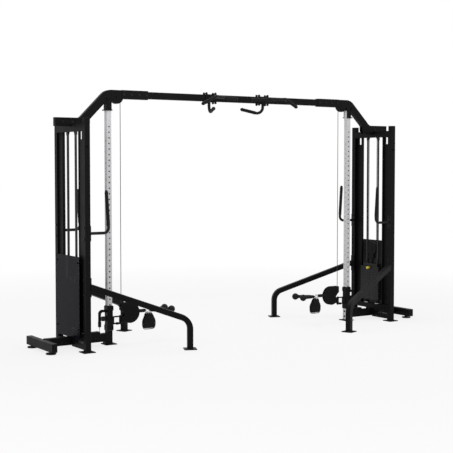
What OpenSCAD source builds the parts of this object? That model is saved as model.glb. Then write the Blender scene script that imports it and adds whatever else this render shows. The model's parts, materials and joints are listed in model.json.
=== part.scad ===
// Cable crossover machine: two weight-stack towers joined by an overhead crossbeam.
// X runs along the crossbeam, -Y is the side the user faces, Z is up from the floor.
// Every sub-part is drawn for the -X tower; the +X tower is its mirror image.

/* [Layout] */
// Spacing of the two adjustment columns
column_spacing = 2756; // [2400:4:3000]
// Spacing of the two pairs of uprights
tower_spacing = 3460; // [3100:4:3800]
// Spacing of the front and rear upright of a tower
upright_spacing = 582; // [480:2:680]
// Height of the crossbeam's centre line
beam_height = 2251; // [2000:1:2400]
// Height of the top of the uprights
upright_height = 2018; // [1800:1:2100]
// Outward reach of the stabiliser feet from the middle line
leg_reach = 627; // [500:1:750]

/* [Frame tubes] */
// Side of the square upright tube
upright_size = 50; // [40:1:60]
// Wall of the frame tubes
wall = 3; // [2:0.5:5]
// Height of the gooseneck tube
neck_height = 76; // [60:1:90]
// Depth of the gooseneck tube and the crossbeam
neck_depth = 42; // [36:1:60]
// Height of the crossbeam tube
beam_tube = 64; // [50:1:76]
// Side of a foot plate
foot_size = 110; // [90:1:140]
// Thickness of a foot plate
foot_thick = 8; // [5:1:12]

/* [Adjustment column] */
// Side of the square column
column_size = 46; // [40:1:60]
// Spacing of the height holes
hole_pitch = 50; // [25:5:75]
// Number of height positions
hole_count = 35; // [20:1:36]
// Radius of a height hole
hole_r = 5; // [4:0.5:7]
// Height of the carriage's lower edge
carriage_z = 126; // [120:1:400]

/* [Weight stack] */
// Width of a weight plate along Y
plate_width = 280; // [200:5:320]
// Depth of a weight plate along X
plate_depth = 84; // [60:2:90]
// Spacing of the plates in the stack
plate_pitch = 25; // [20:1:40]
// Plates left standing below the selected one
plate_count = 13; // [8:1:14]
// Radius of a guide rod
guide_r = 10; // [8:1:14]
// Spacing of the guide rods
guide_spacing = 168; // [120:2:200]

/* [Hidden] */
$fn = 64;

xc = -column_spacing / 2;
xu = -tower_spacing / 2;
yu = upright_spacing / 2;
hu = upright_size / 2;
hc = column_size / 2;
hn = neck_depth / 2;
y_face = yu - hu;
gap = 0.4;
cable_r = 3;

// Gooseneck centre line: low run, 45 degree rise, high run.
neck_low = 1994;
neck_bend_r = 90;
neck_x1 = xu + 85;
neck_x2 = neck_x1 + beam_height - neck_low;
neck_out = xu - 162;
neck_in = xc + 256;
cross_top = neck_low - neck_height / 2;
cross_bottom = cross_top - 48;

// Crossbeam sleeve and its bolts.
sleeve_x0 = xc + 132;
sleeve_x1 = xc + 400;
sleeve_h = neck_height + 4;
sleeve_y = hn + 3;
beam_end = neck_in + 4;

// Pulley wheels of one tower.
groove_r = 39;
beam_wheel_x = xc + 85;
beam_wheel_z = beam_height - 21;
cable_x = beam_wheel_x + groove_r;
swivel_r = 36;
swivel_x = cable_x + swivel_r;
exit_z = 280;
swivel_z = exit_z + swivel_r;
pivot_x = cable_x - 8;
float_r = 62;
float_z = 741;

// Base of one tower.
base_x0 = xu - 274;
base_z0 = 31;
base_z1 = 104;
bar_w = 50;
bar_z0 = 24;
bar_z1 = 98;
bar_half = 280;
low_z0 = 22;
low_z1 = 72;
tray_z0 = 108;
tray_z1 = 158;
stack_z = 200;
top_plate_z = stack_z + (plate_count + 1) * plate_pitch;
guide_y = guide_spacing / 2;

// Carriage and its fittings.
sleeve_in = hc + gap;
sleeve_out = hc + 4.5;
pin_z = 235;
lever_x = xc - 92;
hook_z = 168;

// Pulled end of the cable.
nose_x = swivel_x + 142;
stopper_x1 = nose_x + 73;
ring_z = exit_z - 3;
link_x0 = stopper_x1 + 18;
link_x1 = link_x0 + 18;
link_r = 13;
wire_r = 4.5;
ball_x = -764;
ball_y = 66;
ball_z = 283;
ball_r = 33;

// Pull-up station.
clamp_x = -302;
clamp_w = 124;
clamp_bolt_x = 50;
clamp_bolt_z = 44;
grip_r = 14;

module box(lo, hi) {
  translate(lo) cube([hi[0] - lo[0], hi[1] - lo[1], hi[2] - lo[2]]);
}

module both() {
  children();
  mirror([1, 0, 0]) children();
}

module pair_y() {
  children();
  mirror([0, 1, 0]) children();
}

module cyl_x(x0, x1, r, y = 0, z = 0) {
  translate([x0, y, z]) rotate([0, 90, 0]) cylinder(h = x1 - x0, r = r);
}

module cyl_y(y0, y1, r, x = 0, z = 0) {
  translate([x, y1, z]) rotate([90, 0, 0]) cylinder(h = y1 - y0, r = r);
}

module cyl_z(z0, z1, r, x = 0, y = 0) {
  translate([x, y, z0]) cylinder(h = z1 - z0, r = r);
}

// Straight round bar between two points.
module bar(p, q, r) {
  d = q - p;
  len = norm(d);
  translate(p)
    rotate([0, acos(d[2] / len), atan2(d[1], d[0])])
      cylinder(h = len, r = r);
}

// Flat strip of width w between two 2D points.
module strip(p, q, w) {
  d = q - p;
  translate(p) rotate(atan2(d[1], d[0])) translate([0, -w / 2]) square([norm(d), w]);
}

// Part of a flat ring of width w about a centre, from angle a0 to a1.
module ring_part(c, r, w, a0, a1) {
  far = 2 * (r + w);
  translate(c) intersection() {
    difference() {
      circle(r = r + w / 2);
      circle(r = r - w / 2);
    }
    polygon([[0, 0], far * [cos(a0), sin(a0)], far * [cos(a1), sin(a1)]]);
  }
}

// Hexagon bolt head standing on a face that looks along +X, +Y or -Y.
module head_x(x, y, z, dir = 1, r = 9) {
  translate([x, y, z]) rotate([0, 90 * dir, 0]) cylinder(h = 6, r = r, $fn = 6);
}

module head_y(x, y, z, dir = 1, r = 9) {
  translate([x, y, z]) rotate([-90 * dir, 0, 0]) cylinder(h = 6, r = r, $fn = 6);
}

// Grooved pulley wheel about Z.
module wheel(pitch, flange, w, bore) {
  h = w / 2;
  rotate_extrude() polygon([
    [bore, -h], [flange, -h], [flange, 2 - h], [pitch - cable_r - 0.3, -3],
    [pitch - cable_r - 0.3, 3], [flange, h - 2], [flange, h], [bore, h]
  ]);
}

module foot_plate() {
  hp = foot_size / 2;
  a = hp - 13;
  difference() {
    box([-hp, -hp, 0], [hp, hp, foot_thick]);
    for (x = [-a, a], y = [-a, a]) cyl_z(-1, foot_thick + 1, 5.5, x, y);
  }
}

// Two square tubes on drilled foot plates, with a storage peg on the outer face.
module uprights() {
  color("#26272a") pair_y() translate([xu, yu, 0]) {
    foot_plate();
    difference() {
      box([-hu, -hu, foot_thick], [hu, hu, upright_height]);
      box([wall - hu, wall - hu, foot_thick], [hu - wall, hu - wall, upright_height + 1]);
    }
    cyl_y(hu, hu + 25, 6, 0, 1776);
  }
}

module neck_profile(h) {
  t = neck_bend_r * tan(22.5);
  d = t * sin(45);
  strip([neck_out, neck_low], [neck_x1 - t, neck_low], h);
  ring_part([neck_x1 - t, neck_low + neck_bend_r], neck_bend_r, h, -90, -45);
  strip([neck_x1 + d, neck_low + d], [neck_x2 - d, beam_height - d], h);
  ring_part([neck_x2 + t, beam_height - neck_bend_r], neck_bend_r, h, 90, 135);
  strip([neck_x2 + t, beam_height], [neck_in, beam_height], h);
}

module neck_solid(h, depth) {
  rotate([90, 0, 0]) linear_extrude(height = depth, center = true) neck_profile(h);
}

// Bent tube that carries the crossbeam from the head of a tower.
module gooseneck() {
  low = beam_height - neck_height / 2;
  color("#26272a") difference() {
    neck_solid(neck_height, neck_depth);
    neck_solid(neck_height - 2 * wall, neck_depth - 2 * wall);
    box([beam_wheel_x - 50, -13, low - 1], [beam_wheel_x + 50, 13, low + wall + 1]);
    cyl_y(-hn - 1, hn + 1, 6.2, beam_wheel_x, beam_wheel_z);
  }
}

module crossbeam() {
  h = beam_tube / 2;
  d = hn - 1;
  color("#26272a") difference() {
    box([beam_end, -d, beam_height - h], [-beam_end, d, beam_height + h]);
    box([beam_end - 1, wall - d, beam_height - h + wall], [1 - beam_end, d - wall, beam_height + h - wall]);
  }
}

// Outer sleeves that join the goosenecks to the crossbeam.
module beam_sleeves() {
  h = sleeve_h / 2;
  hb = beam_tube / 2;
  color("#1f2023") both() difference() {
    box([sleeve_x0, -sleeve_y, beam_height - h], [sleeve_x1, sleeve_y, beam_height + h]);
    box([sleeve_x0 - 1, -hn, beam_height - neck_height / 2],
        [neck_in + 2, hn, beam_height + neck_height / 2]);
    box([neck_in + 1, 1 - hn, beam_height - hb], [sleeve_x1 + 1, hn - 1, beam_height + hb]);
  }
}

// Tubes that run along Y: tower head, stack tray, floor tube and outer crossbar.
module cross_members() {
  color("#26272a") both() {
    difference() {
      translate([xu, 0, 0]) union() {
        box([-hu, -y_face, cross_bottom], [hu, y_face, cross_top]);
        pair_y() box([-hu, hn + gap, cross_top - 1], [hu, y_face, cross_top + 16]);
        pair_y() cyl_z(cross_bottom - 14, cross_bottom, 7.4, 0, float_r);
      }
      box([xu + wall - hu, -y_face - 1, cross_bottom + wall],
          [xu + hu - wall, y_face + 1, cross_top - wall]);
      for (y = [-float_r, float_r]) cyl_z(cross_bottom - 15, cross_bottom + 9, 3.5, xu, y);
      cyl_z(cross_bottom - 1, cross_bottom + 9, 3.5, xu, -150);
    }
    difference() {
      translate([xu, 0, 0]) union() {
        box([-hu, -y_face, tray_z0], [hu, y_face, tray_z1]);
        box([-hu, -hu, base_z1], [hu, hu, tray_z0]);
        pair_y() box([-hu, 63, low_z1], [hu, 73, tray_z0]);
        pair_y() box([-hu, hu, low_z0], [hu, y_face, low_z1]);
      }
      box([xu + wall - hu, -y_face - 1, tray_z0 + wall],
          [xu + hu - wall, y_face + 1, tray_z1 - wall]);
      pair_y() box([xu + wall - hu, hu + wall, low_z0 + wall],
                   [xu + hu - wall, y_face + 1, low_z1 - wall]);
      cyl_z(low_z1 - 9, tray_z1 + 1, 3.5, xu, -150);
    }
    difference() {
      box([base_x0 - bar_w, -bar_half, bar_z0], [base_x0, bar_half, bar_z1]);
      box([base_x0 - bar_w + wall, wall - bar_half, bar_z0 + wall],
          [base_x0 - wall, bar_half - wall, bar_z1 - wall]);
    }
  }
}

// Beam along the floor from the outer crossbar to the column, with the column's socket.
module base_beams() {
  hb = bar_w / 2;
  color("#26272a") both() {
    difference() {
      union() {
        box([base_x0, -hb, base_z0], [xc - hc - 3, hb, base_z1]);
        box([xu + 165, -hb, base_z1], [lever_x - 8, hb, base_z1 + 20]);
        box([xc - hc - 3, -hc - 5, foot_thick], [xc + hc, hc + 5, carriage_z - 2]);
        box([xc - 48, -hc - 5, foot_thick], [xc - hc, hc + 5, base_z1]);
      }
      box([base_x0 - 1, wall - hb, base_z0 + wall], [xc - 60, hb - wall, base_z1 - wall]);
      box([xc - hc, -hc, -1], [xc + hc + 1, hc, carriage_z]);
      box([lever_x - 7, -6, base_z1 - 10], [lever_x + 7, 6, base_z1 + 1]);
    }
    translate([xc, 0, 0]) foot_plate();
  }
}

// Square column with height marks in front and pin holes through the sides.
module column() {
  top = beam_height - 71;
  color("#c9cacc") difference() {
    box([xc - hc, -hc, foot_thick], [xc + hc, hc, top]);
    box([xc - hc + wall, wall - hc, foot_thick - 1], [xc + hc - wall, hc - wall, top + 1]);
    for (i = [0 : hole_count - 2]) {
      cyl_y(-hc - 1, wall - hc + 1, hole_r, xc, 1960 - hole_pitch * i);
    }
    for (i = [0 : hole_count - 3]) {
      cyl_x(xc - hc - 1, xc + hc + 1, hole_r, 0, pin_z + hole_pitch * i);
    }
  }
}

// U-shaped bracket with a flange that hangs the column under the gooseneck.
module column_brackets() {
  z0 = beam_height - 148;
  w = hc + 5;
  color("#1f2023") both() difference() {
    union() {
      box([xc - w, -w, z0], [xc + hc + 4, w, beam_height - 20]);
      box([xc - hc - 17, -hc - 14, z0], [xc + hc + 8, hc + 14, z0 + 10]);
    }
    box([xc - hc, -hc, z0 - 1], [xc + hc + 9, hc, beam_height - 71]);
    neck_solid(neck_height, 80);
  }
}

// Cheeks of the tower-head pulley and the guard under the beam pulley.
module pulley_cheeks() {
  low = beam_height - neck_height / 2;
  head_x0 = xu + hu;
  color("#1f2023") both() {
    difference() {
      cyl_y(-18, 18, 64, beam_wheel_x, beam_wheel_z);
      cyl_y(-14, 14, 60, beam_wheel_x, beam_wheel_z);
      box([beam_wheel_x - 70, -20, low], [beam_wheel_x + 70, 20, low + 90]);
      box([beam_wheel_x - 70, -20, low - 60], [xc + hc + 4.5, 20, low + 1]);
      box([sleeve_x0 - 1, -20, low - 3], [sleeve_x0 + 60, 20, low + 1]);
      box([cable_x - 6, -6, low - 60], [cable_x + 6, 6, low + 1]);
    }
    cyl_y(-hn - 1, hn + 1, 6, beam_wheel_x, beam_wheel_z);
    pair_y() cyl_y(hn + 0.5, hn + 5, 10, beam_wheel_x, beam_wheel_z);
    pair_y() difference() {
      union() {
        cyl_y(hn, hn + 5, 50, xu + 115, neck_low - 4);
        box([head_x0, hn, neck_low - 54], [xu + 115, hn + 5, neck_low + 44]);
        box([xu + 108, hn, neck_low - 4], [xu + 165, hn + 5, neck_low + 40]);
      }
      box([head_x0 - 60, hn - 1, neck_low + 34], [xu + 118, hn + 6, neck_low + 60]);
    }
    box([head_x0, -hn, neck_low - 54], [xu + 115, hn, neck_low - 51]);
    cyl_y(-hn, hn, 6, xu + 128, neck_low - 45);
  }
}

// Splayed legs bolted to the uprights, with foot plates in line with each leg.
module stabiliser_legs() {
  start = [xu + hu + 5, yu + 9];
  foot = [xc + 479, leg_reach];
  d = foot - start;
  run = norm(d);
  w = 50;
  r = 110;
  drop = 308;
  z_top = 566;
  slope = atan2(drop, run);
  turn = 90 - slope;
  t = r * tan(turn / 2);
  corner = [run, z_top - drop];
  color("#26272a") both() pair_y() difference() {
    union() {
      box([xu + hu, yu - 25, 480], [xu + hu + 7, yu + 25, 645]);
      translate([start[0], start[1], 0]) rotate([0, 0, atan2(d[1], d[0])]) {
        rotate([90, 0, 0]) linear_extrude(height = w, center = true) difference() {
          leg_profile(w, corner, slope, t, r, z_top);
          leg_profile(w - 2 * wall, corner, slope, t, r, z_top);
        }
        for (s = [-1, 1]) translate([0, s * (w - wall) / 2, 0])
          rotate([90, 0, 0]) linear_extrude(height = wall, center = true)
            leg_profile(w, corner, slope, t, r, z_top);
        translate([run, 0, 0]) foot_plate();
      }
    }
    box([xu - 100, 0, 0], [xu + hu, 700, 900]);
  }
}

module leg_profile(w, corner, slope, t, r, z_top) {
  dir = [cos(slope), -sin(slope)];
  p = corner - t * dir;
  strip([0, z_top] - 30 * dir, p, w);
  ring_part([corner[0] - r, corner[1] - t], r, w, 0, 90 - slope);
  strip([corner[0], corner[1] - t], [corner[0], foot_thick - 1], w);
}

// Angle strips on the facing sides of the uprights, with studs for the shield.
module guard_strips() {
  y_in = y_face - 101;
  x_leg = xu - 6;
  color("#1f2023") both() pair_y() {
    difference() {
      box([x_leg - 3, y_in + 3, tray_z1 + 2], [x_leg, y_face, cross_bottom]);
      box([x_leg - 4, y_in + 33, cross_bottom - 70], [x_leg + 1, y_in + 58, cross_bottom - 2]);
    }
    box([xu - 16, y_in, tray_z1 + 2], [xu + 10, y_in + 3, cross_bottom]);
    for (z = [190, 770]) cyl_x(xu - 49, x_leg - 2, 6, y_in + 50, z);
  }
}

// Flat smoked shields on the outer side of the stacks.
module shields() {
  r = 20;
  w = 247;
  low = base_z1 + 3;
  color("#5f6478", 0.6) both() translate([xu - 53, 0, 0]) {
    box([0, -w, low + r], [4, w, 826 - r]);
    box([0, r - w, low], [4, w - r, 826]);
    for (y = [r - w, w - r], z = [low + r, 826 - r]) cyl_x(0, 4, r, y, z);
  }
}

// Guide rods with their top collars.
module guide_rods() {
  color("#d8dade") both() pair_y() translate([xu, guide_y, 0]) {
    cyl_z(tray_z1, cross_bottom, guide_r);
    cyl_z(cross_bottom - 28, cross_bottom, 14);
  }
}

// Bumpers under the stack and plugs in the open tube ends.
module rubber_fittings() {
  color("#17181a") both() {
    pair_y() translate([xu, guide_y, 0]) difference() {
      cyl_z(tray_z1, stack_z - 0.5, 22);
      cyl_z(tray_z1 - 1, stack_z, guide_r + 0.3);
    }
    pair_y() translate([xu, yu, 0]) {
      box([-hu, -hu, upright_height], [hu, hu, upright_height + 4]);
      box([wall - hu, wall - hu, upright_height - 15], [hu - wall, hu - wall, upright_height]);
    }
    box([neck_out - 4, -hn, neck_low - neck_height / 2],
        [neck_out, hn, neck_low + neck_height / 2]);
    box([neck_out, wall - hn, neck_low + wall - neck_height / 2],
        [neck_out + 15, hn - wall, neck_low - wall + neck_height / 2]);
  }
}

// Round levelling feet under the outer crossbars.
module crossbar_feet() {
  color("#17181a") both() pair_y() translate([base_x0 - bar_w / 2, 203, 0]) {
    cyl_z(0, 12, 45);
    cyl_z(12, bar_z0, 16);
  }
}

// Bent grab handles, one on the inner face of each upright.
module tower_handles() {
  r = 13;
  bend = 45;
  lean = 3.7;
  z = 1028;
  x_up = xu + 212;
  t = bend * tan((90 + lean) / 2);
  x0 = xu + hu;
  cx = x_up - t;
  color("#1b1c1e") both() pair_y() translate([0, yu, 0]) {
    box([x0, -24, 962], [x0 + 6, 24, 1094]);
    cyl_x(x0 + 5, cx, r, 0, z);
    translate([cx, 0, z + bend]) rotate([90, 0, 0]) rotate([0, 0, -90]) {
      rotate_extrude(angle = 90 + lean) translate([bend, 0]) circle(r = r);
      rotate([0, 0, 90 + lean]) translate([bend, 0, 0]) {
        rotate([-90, 0, 0]) cylinder(h = 312, r = r);
        translate([0, 312, 0]) sphere(r = r + 0.6);
      }
    }
  }
}

// Clamps that hold the pull-up grips on the crossbeam, with an ear round each bolt.
module grip_clamps() {
  h = 36;
  w = clamp_w / 2;
  ear = 11;
  color("#1f2023") both() {
    pair_y() difference() {
      union() {
        box([clamp_x - w, hn - 1, beam_height - h], [clamp_x + w, hn + 5, beam_height + h]);
        for (x = [-clamp_bolt_x, clamp_bolt_x], s = [-1, 1]) translate([clamp_x + x, 0, beam_height]) {
          cyl_y(hn, hn + 5, ear, 0, s * clamp_bolt_z);
          box([-ear, hn, min(s * h, s * clamp_bolt_z)], [ear, hn + 5, max(s * h, s * clamp_bolt_z)]);
        }
      }
      for (x = [-clamp_bolt_x, clamp_bolt_x], z = [-clamp_bolt_z, clamp_bolt_z]) {
        cyl_y(hn - 2, hn + 6, 5.4, clamp_x + x, beam_height + z);
      }
    }
    box([clamp_x - 34, 1 - hn, beam_height - 38], [clamp_x + 34, hn - 1, beam_height - beam_tube / 2]);
  }
}

// Angled grips in front of the crossbeam.
module wide_grips() {
  r = grip_r;
  a = [clamp_x + 210, -145, beam_height - 9];
  b = [clamp_x - 91, -264, beam_height + 1];
  c = [clamp_x - 231, -252, beam_height - 70];
  color("#1b1c1e") both() {
    bar(a, b, r);
    bar(b, c, r);
    for (p = [a, b, c]) translate(p) sphere(r = r + 0.6);
    cyl_y(-228, -hn - 5, 12, clamp_x, beam_height);
  }
}

// J-shaped grips under the crossbeam: down, round a bend, then rising slightly towards the rear.
// A short collar covers each end of the bend.
module neutral_grips() {
  r = grip_r;
  bend = 56;
  rise = 14.5;
  z = beam_height - 68;
  color("#1b1c1e") both() translate([clamp_x - 8, 0, 0]) rotate([0, 0, 45.8]) {
    cyl_z(z + 1, beam_height - 38.3, r);
    cyl_z(z - 4, z + 4, r + 0.5);
    translate([bend, 0, z]) rotate([90, 0, 0]) rotate([0, 0, 180]) {
      rotate_extrude(angle = 90 + rise) translate([bend, 0]) circle(r = r);
      rotate([0, 0, 90 + rise]) translate([bend, 0, 0]) rotate([-90, 0, 0]) {
        cyl_z(-4, 4, r + 0.5);
        cyl_z(1, 146, r);
        translate([0, 0, 146]) sphere(r = r + 0.6);
      }
    }
  }
}

// Bolt heads and clamp bolts of the whole frame.
module frame_bolts() {
  x_out = xu - hu;
  color("#8f9194") both() {
    for (y = [-yu, yu], z = [502, 630, 978, 1078]) {
      head_x(x_out, y, z, -1);
      head_x(xu + hu + (z > 700 ? 6 : 7), y, z);
    }
    for (x = [sleeve_x0 + 20 : 76 : sleeve_x1], dir = [-1, 1]) {
      head_y(x, dir * sleeve_y, beam_height, dir);
    }
    for (dx = [-clamp_bolt_x, clamp_bolt_x], dz = [-clamp_bolt_z, clamp_bolt_z]) {
      cyl_y(-hn - 5, hn + 5, 5, clamp_x + dx, beam_height + dz);
      head_y(clamp_x + dx, -hn - 5, beam_height + dz, -1, 8);
      head_y(clamp_x + dx, hn + 5, beam_height + dz, 1, 8);
    }
    for (x = [neck_out + 70, xu], dir = [-1, 1]) head_y(x, dir * hn, neck_low, dir);
    for (x = [xu + 50, xu + 100], dir = [-1, 1]) {
      head_y(x, dir * (hn + 5), neck_low - 30, dir, 8);
    }
    for (z = [45, 95]) {
      head_x(xc + hc, 0, z);
      head_y(xc - 8, -hc - 5, z, -1, 8);
      head_y(xc - 8, hc + 5, z, 1, 8);
    }
    for (x = [xu - 120, xu + 200]) head_y(x, -bar_w / 2, 68, -1, 8);
  }
}

// Cable runs that pass the stacks and the goosenecks without changing length.
module idle_cables() {
  top = beam_wheel_z + groove_r;
  color("#1c1c1e") both() {
    cyl_z(low_z1 - 20, cross_bottom + 20, cable_r, xu, -150);
    bar([neck_x1 + 40, 0, neck_low + 40], [neck_x2 + 20, 0, top], cable_r);
    translate([neck_x2 + 20, 0, top]) sphere(r = cable_r + 0.4);
    cyl_x(neck_x2 + 20, beam_wheel_x, cable_r, 0, top);
  }
}

module weight_plate(w, d, h, rod_hole) {
  difference() {
    box([-d / 2, -w / 2, 0], [d / 2, w / 2, h]);
    for (y = [-guide_y, guide_y]) cyl_z(-1, h + 1, rod_hole, 0, y);
    cyl_z(-1, h + 1, 11, 0, 0);
  }
}

// Plates that stay down while the selected ones are lifted.
module weight_plates() {
  h = plate_pitch - 1;
  color("#2b2c2f") for (i = [0 : plate_count - 1]) {
    translate([xu, 0, stack_z + i * plate_pitch]) difference() {
      weight_plate(plate_width, plate_depth, h, guide_r + 2);
      cyl_x(-20, plate_depth, 5.4, 0, h / 2);
    }
  }
}

// Head plate with its bushings and selector stem, and the plate the pin holds.
module lift_plates() {
  h = plate_pitch - 1;
  low = top_plate_z - plate_pitch;
  color("#2b2c2f") translate([xu, 0, 0]) {
    translate([0, 0, low]) difference() {
      weight_plate(plate_width, plate_depth, h, guide_r + 2);
      cyl_x(-20, plate_depth, 5.4, 0, h / 2);
    }
    difference() {
      union() {
        box([-30, -110, top_plate_z], [30, 110, top_plate_z + 30]);
        for (y = [-guide_y, guide_y]) cyl_z(top_plate_z + 29, top_plate_z + 80, 15, 0, y);
        cyl_z(stack_z + 8, top_plate_z + 1, 9);
      }
      for (y = [-guide_y, guide_y]) cyl_z(top_plate_z - 1, top_plate_z + 81, guide_r + 0.4, 0, y);
      for (i = [0 : plate_count]) cyl_x(-20, 20, 5.4, 0, stack_z + i * plate_pitch + h / 2);
    }
  }
}

// Yoke of the travelling pulley above the head plate.
module floating_yoke() {
  z0 = top_plate_z + 30;
  color("#1f2023") translate([xu, 0, 0]) {
    cyl_z(z0, z0 + 55, 10);
    box([-16, -24, z0 + 54], [16, 24, float_z - 68]);
    for (s = [-1, 1]) {
      x = s > 0 ? 12 : -16;
      cyl_x(x, x + 4, 70, 0, float_z);
      box([x, -34, z0 + 54], [x + 4, 34, float_z]);
    }
    cyl_x(-18, 18, 8, 0, float_z);
    cyl_x(-20, -15, 13, 0, float_z);
    cyl_x(15, 20, 13, 0, float_z);
  }
}

module floating_wheel() {
  color("#3a3b3e") translate([xu, 0, float_z]) rotate([0, 90, 0])
    wheel(float_r, 66, 18, 8.06);
}

// Pin that picks the weight, with a round grip.
module selector_pin() {
  z = top_plate_z - plate_pitch + (plate_pitch - 1) / 2;
  x = xu + plate_depth / 2;
  color("#e3c92f") {
    cyl_x(xu - 14, x + 4, 5, 0, z);
    cyl_x(x + 2, x + 8, 9, 0, z);
    cyl_x(x + 7, x + 34, 13, 0, z);
  }
}

// Sleeve that slides on the column, with the swivel bracket and the lift lever.
module carriage() {
  z0 = carriage_z;
  z1 = z0 + 224;
  bz = z0 + 52;
  ear = 14;
  lever_z = z0 + 152;
  lever_r = 28;
  color("#1d1e20") difference() {
    union() {
      box([xc - sleeve_out, -sleeve_out, z0], [xc + sleeve_out, sleeve_out, z1]);
      square_collar(z0, z0 + 54, sleeve_out + 4);
      square_collar(z1 - 44, z1, sleeve_out + 4.5);
      box([xc + sleeve_out - 1, -22, bz], [xc + 44, 22, bz + 72]);
      for (z = [bz, bz + 62]) {
        box([xc + 43, -ear, z], [pivot_x, ear, z + 10]);
        cyl_z(z, z + 10, ear, pivot_x);
      }
      cyl_z(bz - 7, bz + 78, 6, pivot_x);
      cyl_z(bz - 7, bz + 1, 9, pivot_x);
      cyl_z(bz + 71, bz + 78, 9, pivot_x);
      cyl_z(bz - 6, bz + 14, 13, xc + 85);
      translate([xc - 45, 0, pin_z]) rotate([0, 90, 0])
        cylinder(h = 46 - sleeve_out, r1 = 20, r2 = 24);
      cyl_z(hook_z - 4, lever_z, 13, lever_x);
      rotate([90, 0, 0]) linear_extrude(height = 20, center = true) {
        ring_part([lever_x + lever_r, lever_z], lever_r, 22, 90, 180);
        strip([lever_x + lever_r, lever_z + lever_r], [xc - sleeve_out + 1, lever_z + lever_r - 4], 22);
      }
    }
    box([xc - sleeve_in, -sleeve_in, z0 - 1], [xc + sleeve_in, sleeve_in, z1 + 1]);
    cyl_x(xc - 60, xc - hc, 4.9, 0, pin_z);
    cyl_z(hook_z - 5, hook_z + 16, 2.3, lever_x);
  }
}

module square_collar(z0, z1, w) {
  box([xc - w, -w, z0 + 5], [xc + w, w, z1 - 5]);
  box([xc - w + 2, 2 - w, z0], [xc + w - 2, w - 2, z1]);
}

// Spring pin that locks the carriage in a height hole.
module pop_pin() {
  color("#2a2b2e") {
    cyl_x(xc - 50, xc - hc + 5, 4.8, 0, pin_z);
    cyl_x(xc - 71.5, xc - 45.4, 21, 0, pin_z);
  }
}

// Twin-plate housing that turns about the vertical pivot.
module swivel_housing() {
  disc_x = swivel_x + 50;
  disc_z = exit_z - 7;
  r = 95;
  bz = carriage_z + 52;
  color("#1d1e20") difference() {
    union() {
      pair_y() {
        cyl_y(15, 19, r, disc_x, disc_z);
        box([pivot_x - 2, 15, disc_z + 28], [disc_x, 19, disc_z + r - 14]);
        box([pivot_x + 12, 15, disc_z + 28], [disc_x, 19, disc_z + r]);
        cyl_y(15, 19, 14, pivot_x + 12, disc_z + r - 14);
        for (p = [[0, 0], [52, 45], [52, -45], [0, -68]]) {
          cyl_y(18, 23, 7, disc_x + p[0], disc_z + p[1]);
        }
        cyl_y(18, 22, 11, swivel_x, swivel_z);
      }
      for (p = [[52, 45], [52, -45], [0, -68]]) cyl_y(-16, 16, 5, disc_x + p[0], disc_z + p[1]);
      cyl_y(-16, 16, 6, swivel_x, swivel_z);
      cyl_z(bz + 10.4, bz + 61.6, 12, pivot_x);
      box([pivot_x + 8, -16, bz + 14], [pivot_x + 72, 16, bz + 58]);
      box([nose_x - 24, -16, exit_z - 15], [nose_x - 2, 16, exit_z + 17]);
    }
    rotate([90, 0, 0]) linear_extrude(height = 60, center = true) polygon([
      [pivot_x - 40, exit_z + 18], [pivot_x + 8, exit_z + 18], [pivot_x + 38, exit_z - 19],
      [pivot_x + 31, exit_z - 36], [pivot_x + 12.2, exit_z - 36], [pivot_x + 12.2, bz + 62],
      [pivot_x - 40, bz + 62]
    ]);
    cyl_z(bz, bz + 72, 6.06, pivot_x);
    cyl_x(nose_x - 30, nose_x, 3.4, 0, exit_z);
  }
}

module swivel_wheel() {
  color("#3a3b3e") translate([swivel_x, 0, swivel_z]) rotate([90, 0, 0])
    wheel(swivel_r, 41, 18, 6.06);
}

module beam_wheel() {
  color("#3a3b3e") translate([beam_wheel_x, 0, beam_wheel_z]) rotate([90, 0, 0])
    wheel(groove_r, 44, 18, 6.06);
}

// Rubber drum that stops the cable end at the housing.
module stopper() {
  color("#161618") difference() {
    translate([nose_x, 0, exit_z]) rotate([0, 90, 0]) rotate_extrude() polygon([
      [cable_r + 0.3, 0], [13.5, 0], [13.5, 4.5], [16, 9], [16, 60], [12, 73], [cable_r + 0.3, 73]
    ]);
    box([stopper_x1 - 8, -20, ring_z - 5], [stopper_x1 + 1, 20, ring_z + 5]);
  }
}

// Oval snap link with the cable's eye ring.
module carabiner() {
  color("#c4c6ca") {
    for (s = [-1, 1]) {
      cyl_x(link_x0, link_x1, wire_r, 0, ring_z + s * link_r);
      translate([s < 0 ? link_x0 : link_x1, 0, ring_z]) rotate([90, 0, 0])
        rotate([0, 0, s < 0 ? 90 : -90])
          rotate_extrude(angle = 180) translate([link_r, 0]) circle(r = wire_r);
    }
    translate([link_x0 - link_r, 0, ring_z])
      rotate_extrude() translate([7.6, 0]) circle(r = 2.4);
  }
}

// Padded ankle cuff hanging from the link.
module cuff() {
  x = link_x0 + 12;
  z = ring_z - 21;
  shape = [
    [-27, 0], [33, 0], [52, -32], [66, -68], [70, -96], [66, -126], [52, -150],
    [-40, -150], [-54, -126], [-58, -96], [-54, -68], [-42, -32]
  ];
  color("#18191b") translate([x, 0, z]) rotate([90, 0, 0])
    linear_extrude(height = 30, center = true) polygon(shape);
}

// Two-armed pull handle with ball ends and an eye.
module ball_handle() {
  eye = [link_x1 + link_r, 0, ring_z];
  color("#18191b") {
    translate(eye) rotate_extrude() translate([11, 0]) circle(r = 3);
    pair_y() {
      bar(eye + [11, 5, 0], [ball_x, ball_y, ball_z], 14);
      translate([ball_x, ball_y, ball_z]) sphere(r = ball_r);
    }
  }
}

// Cable from the beam pulley down to the swivel housing.
module column_cable() {
  color("#1c1c1e") {
    cyl_z(swivel_z, beam_wheel_z, cable_r, cable_x);
  }
}

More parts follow.
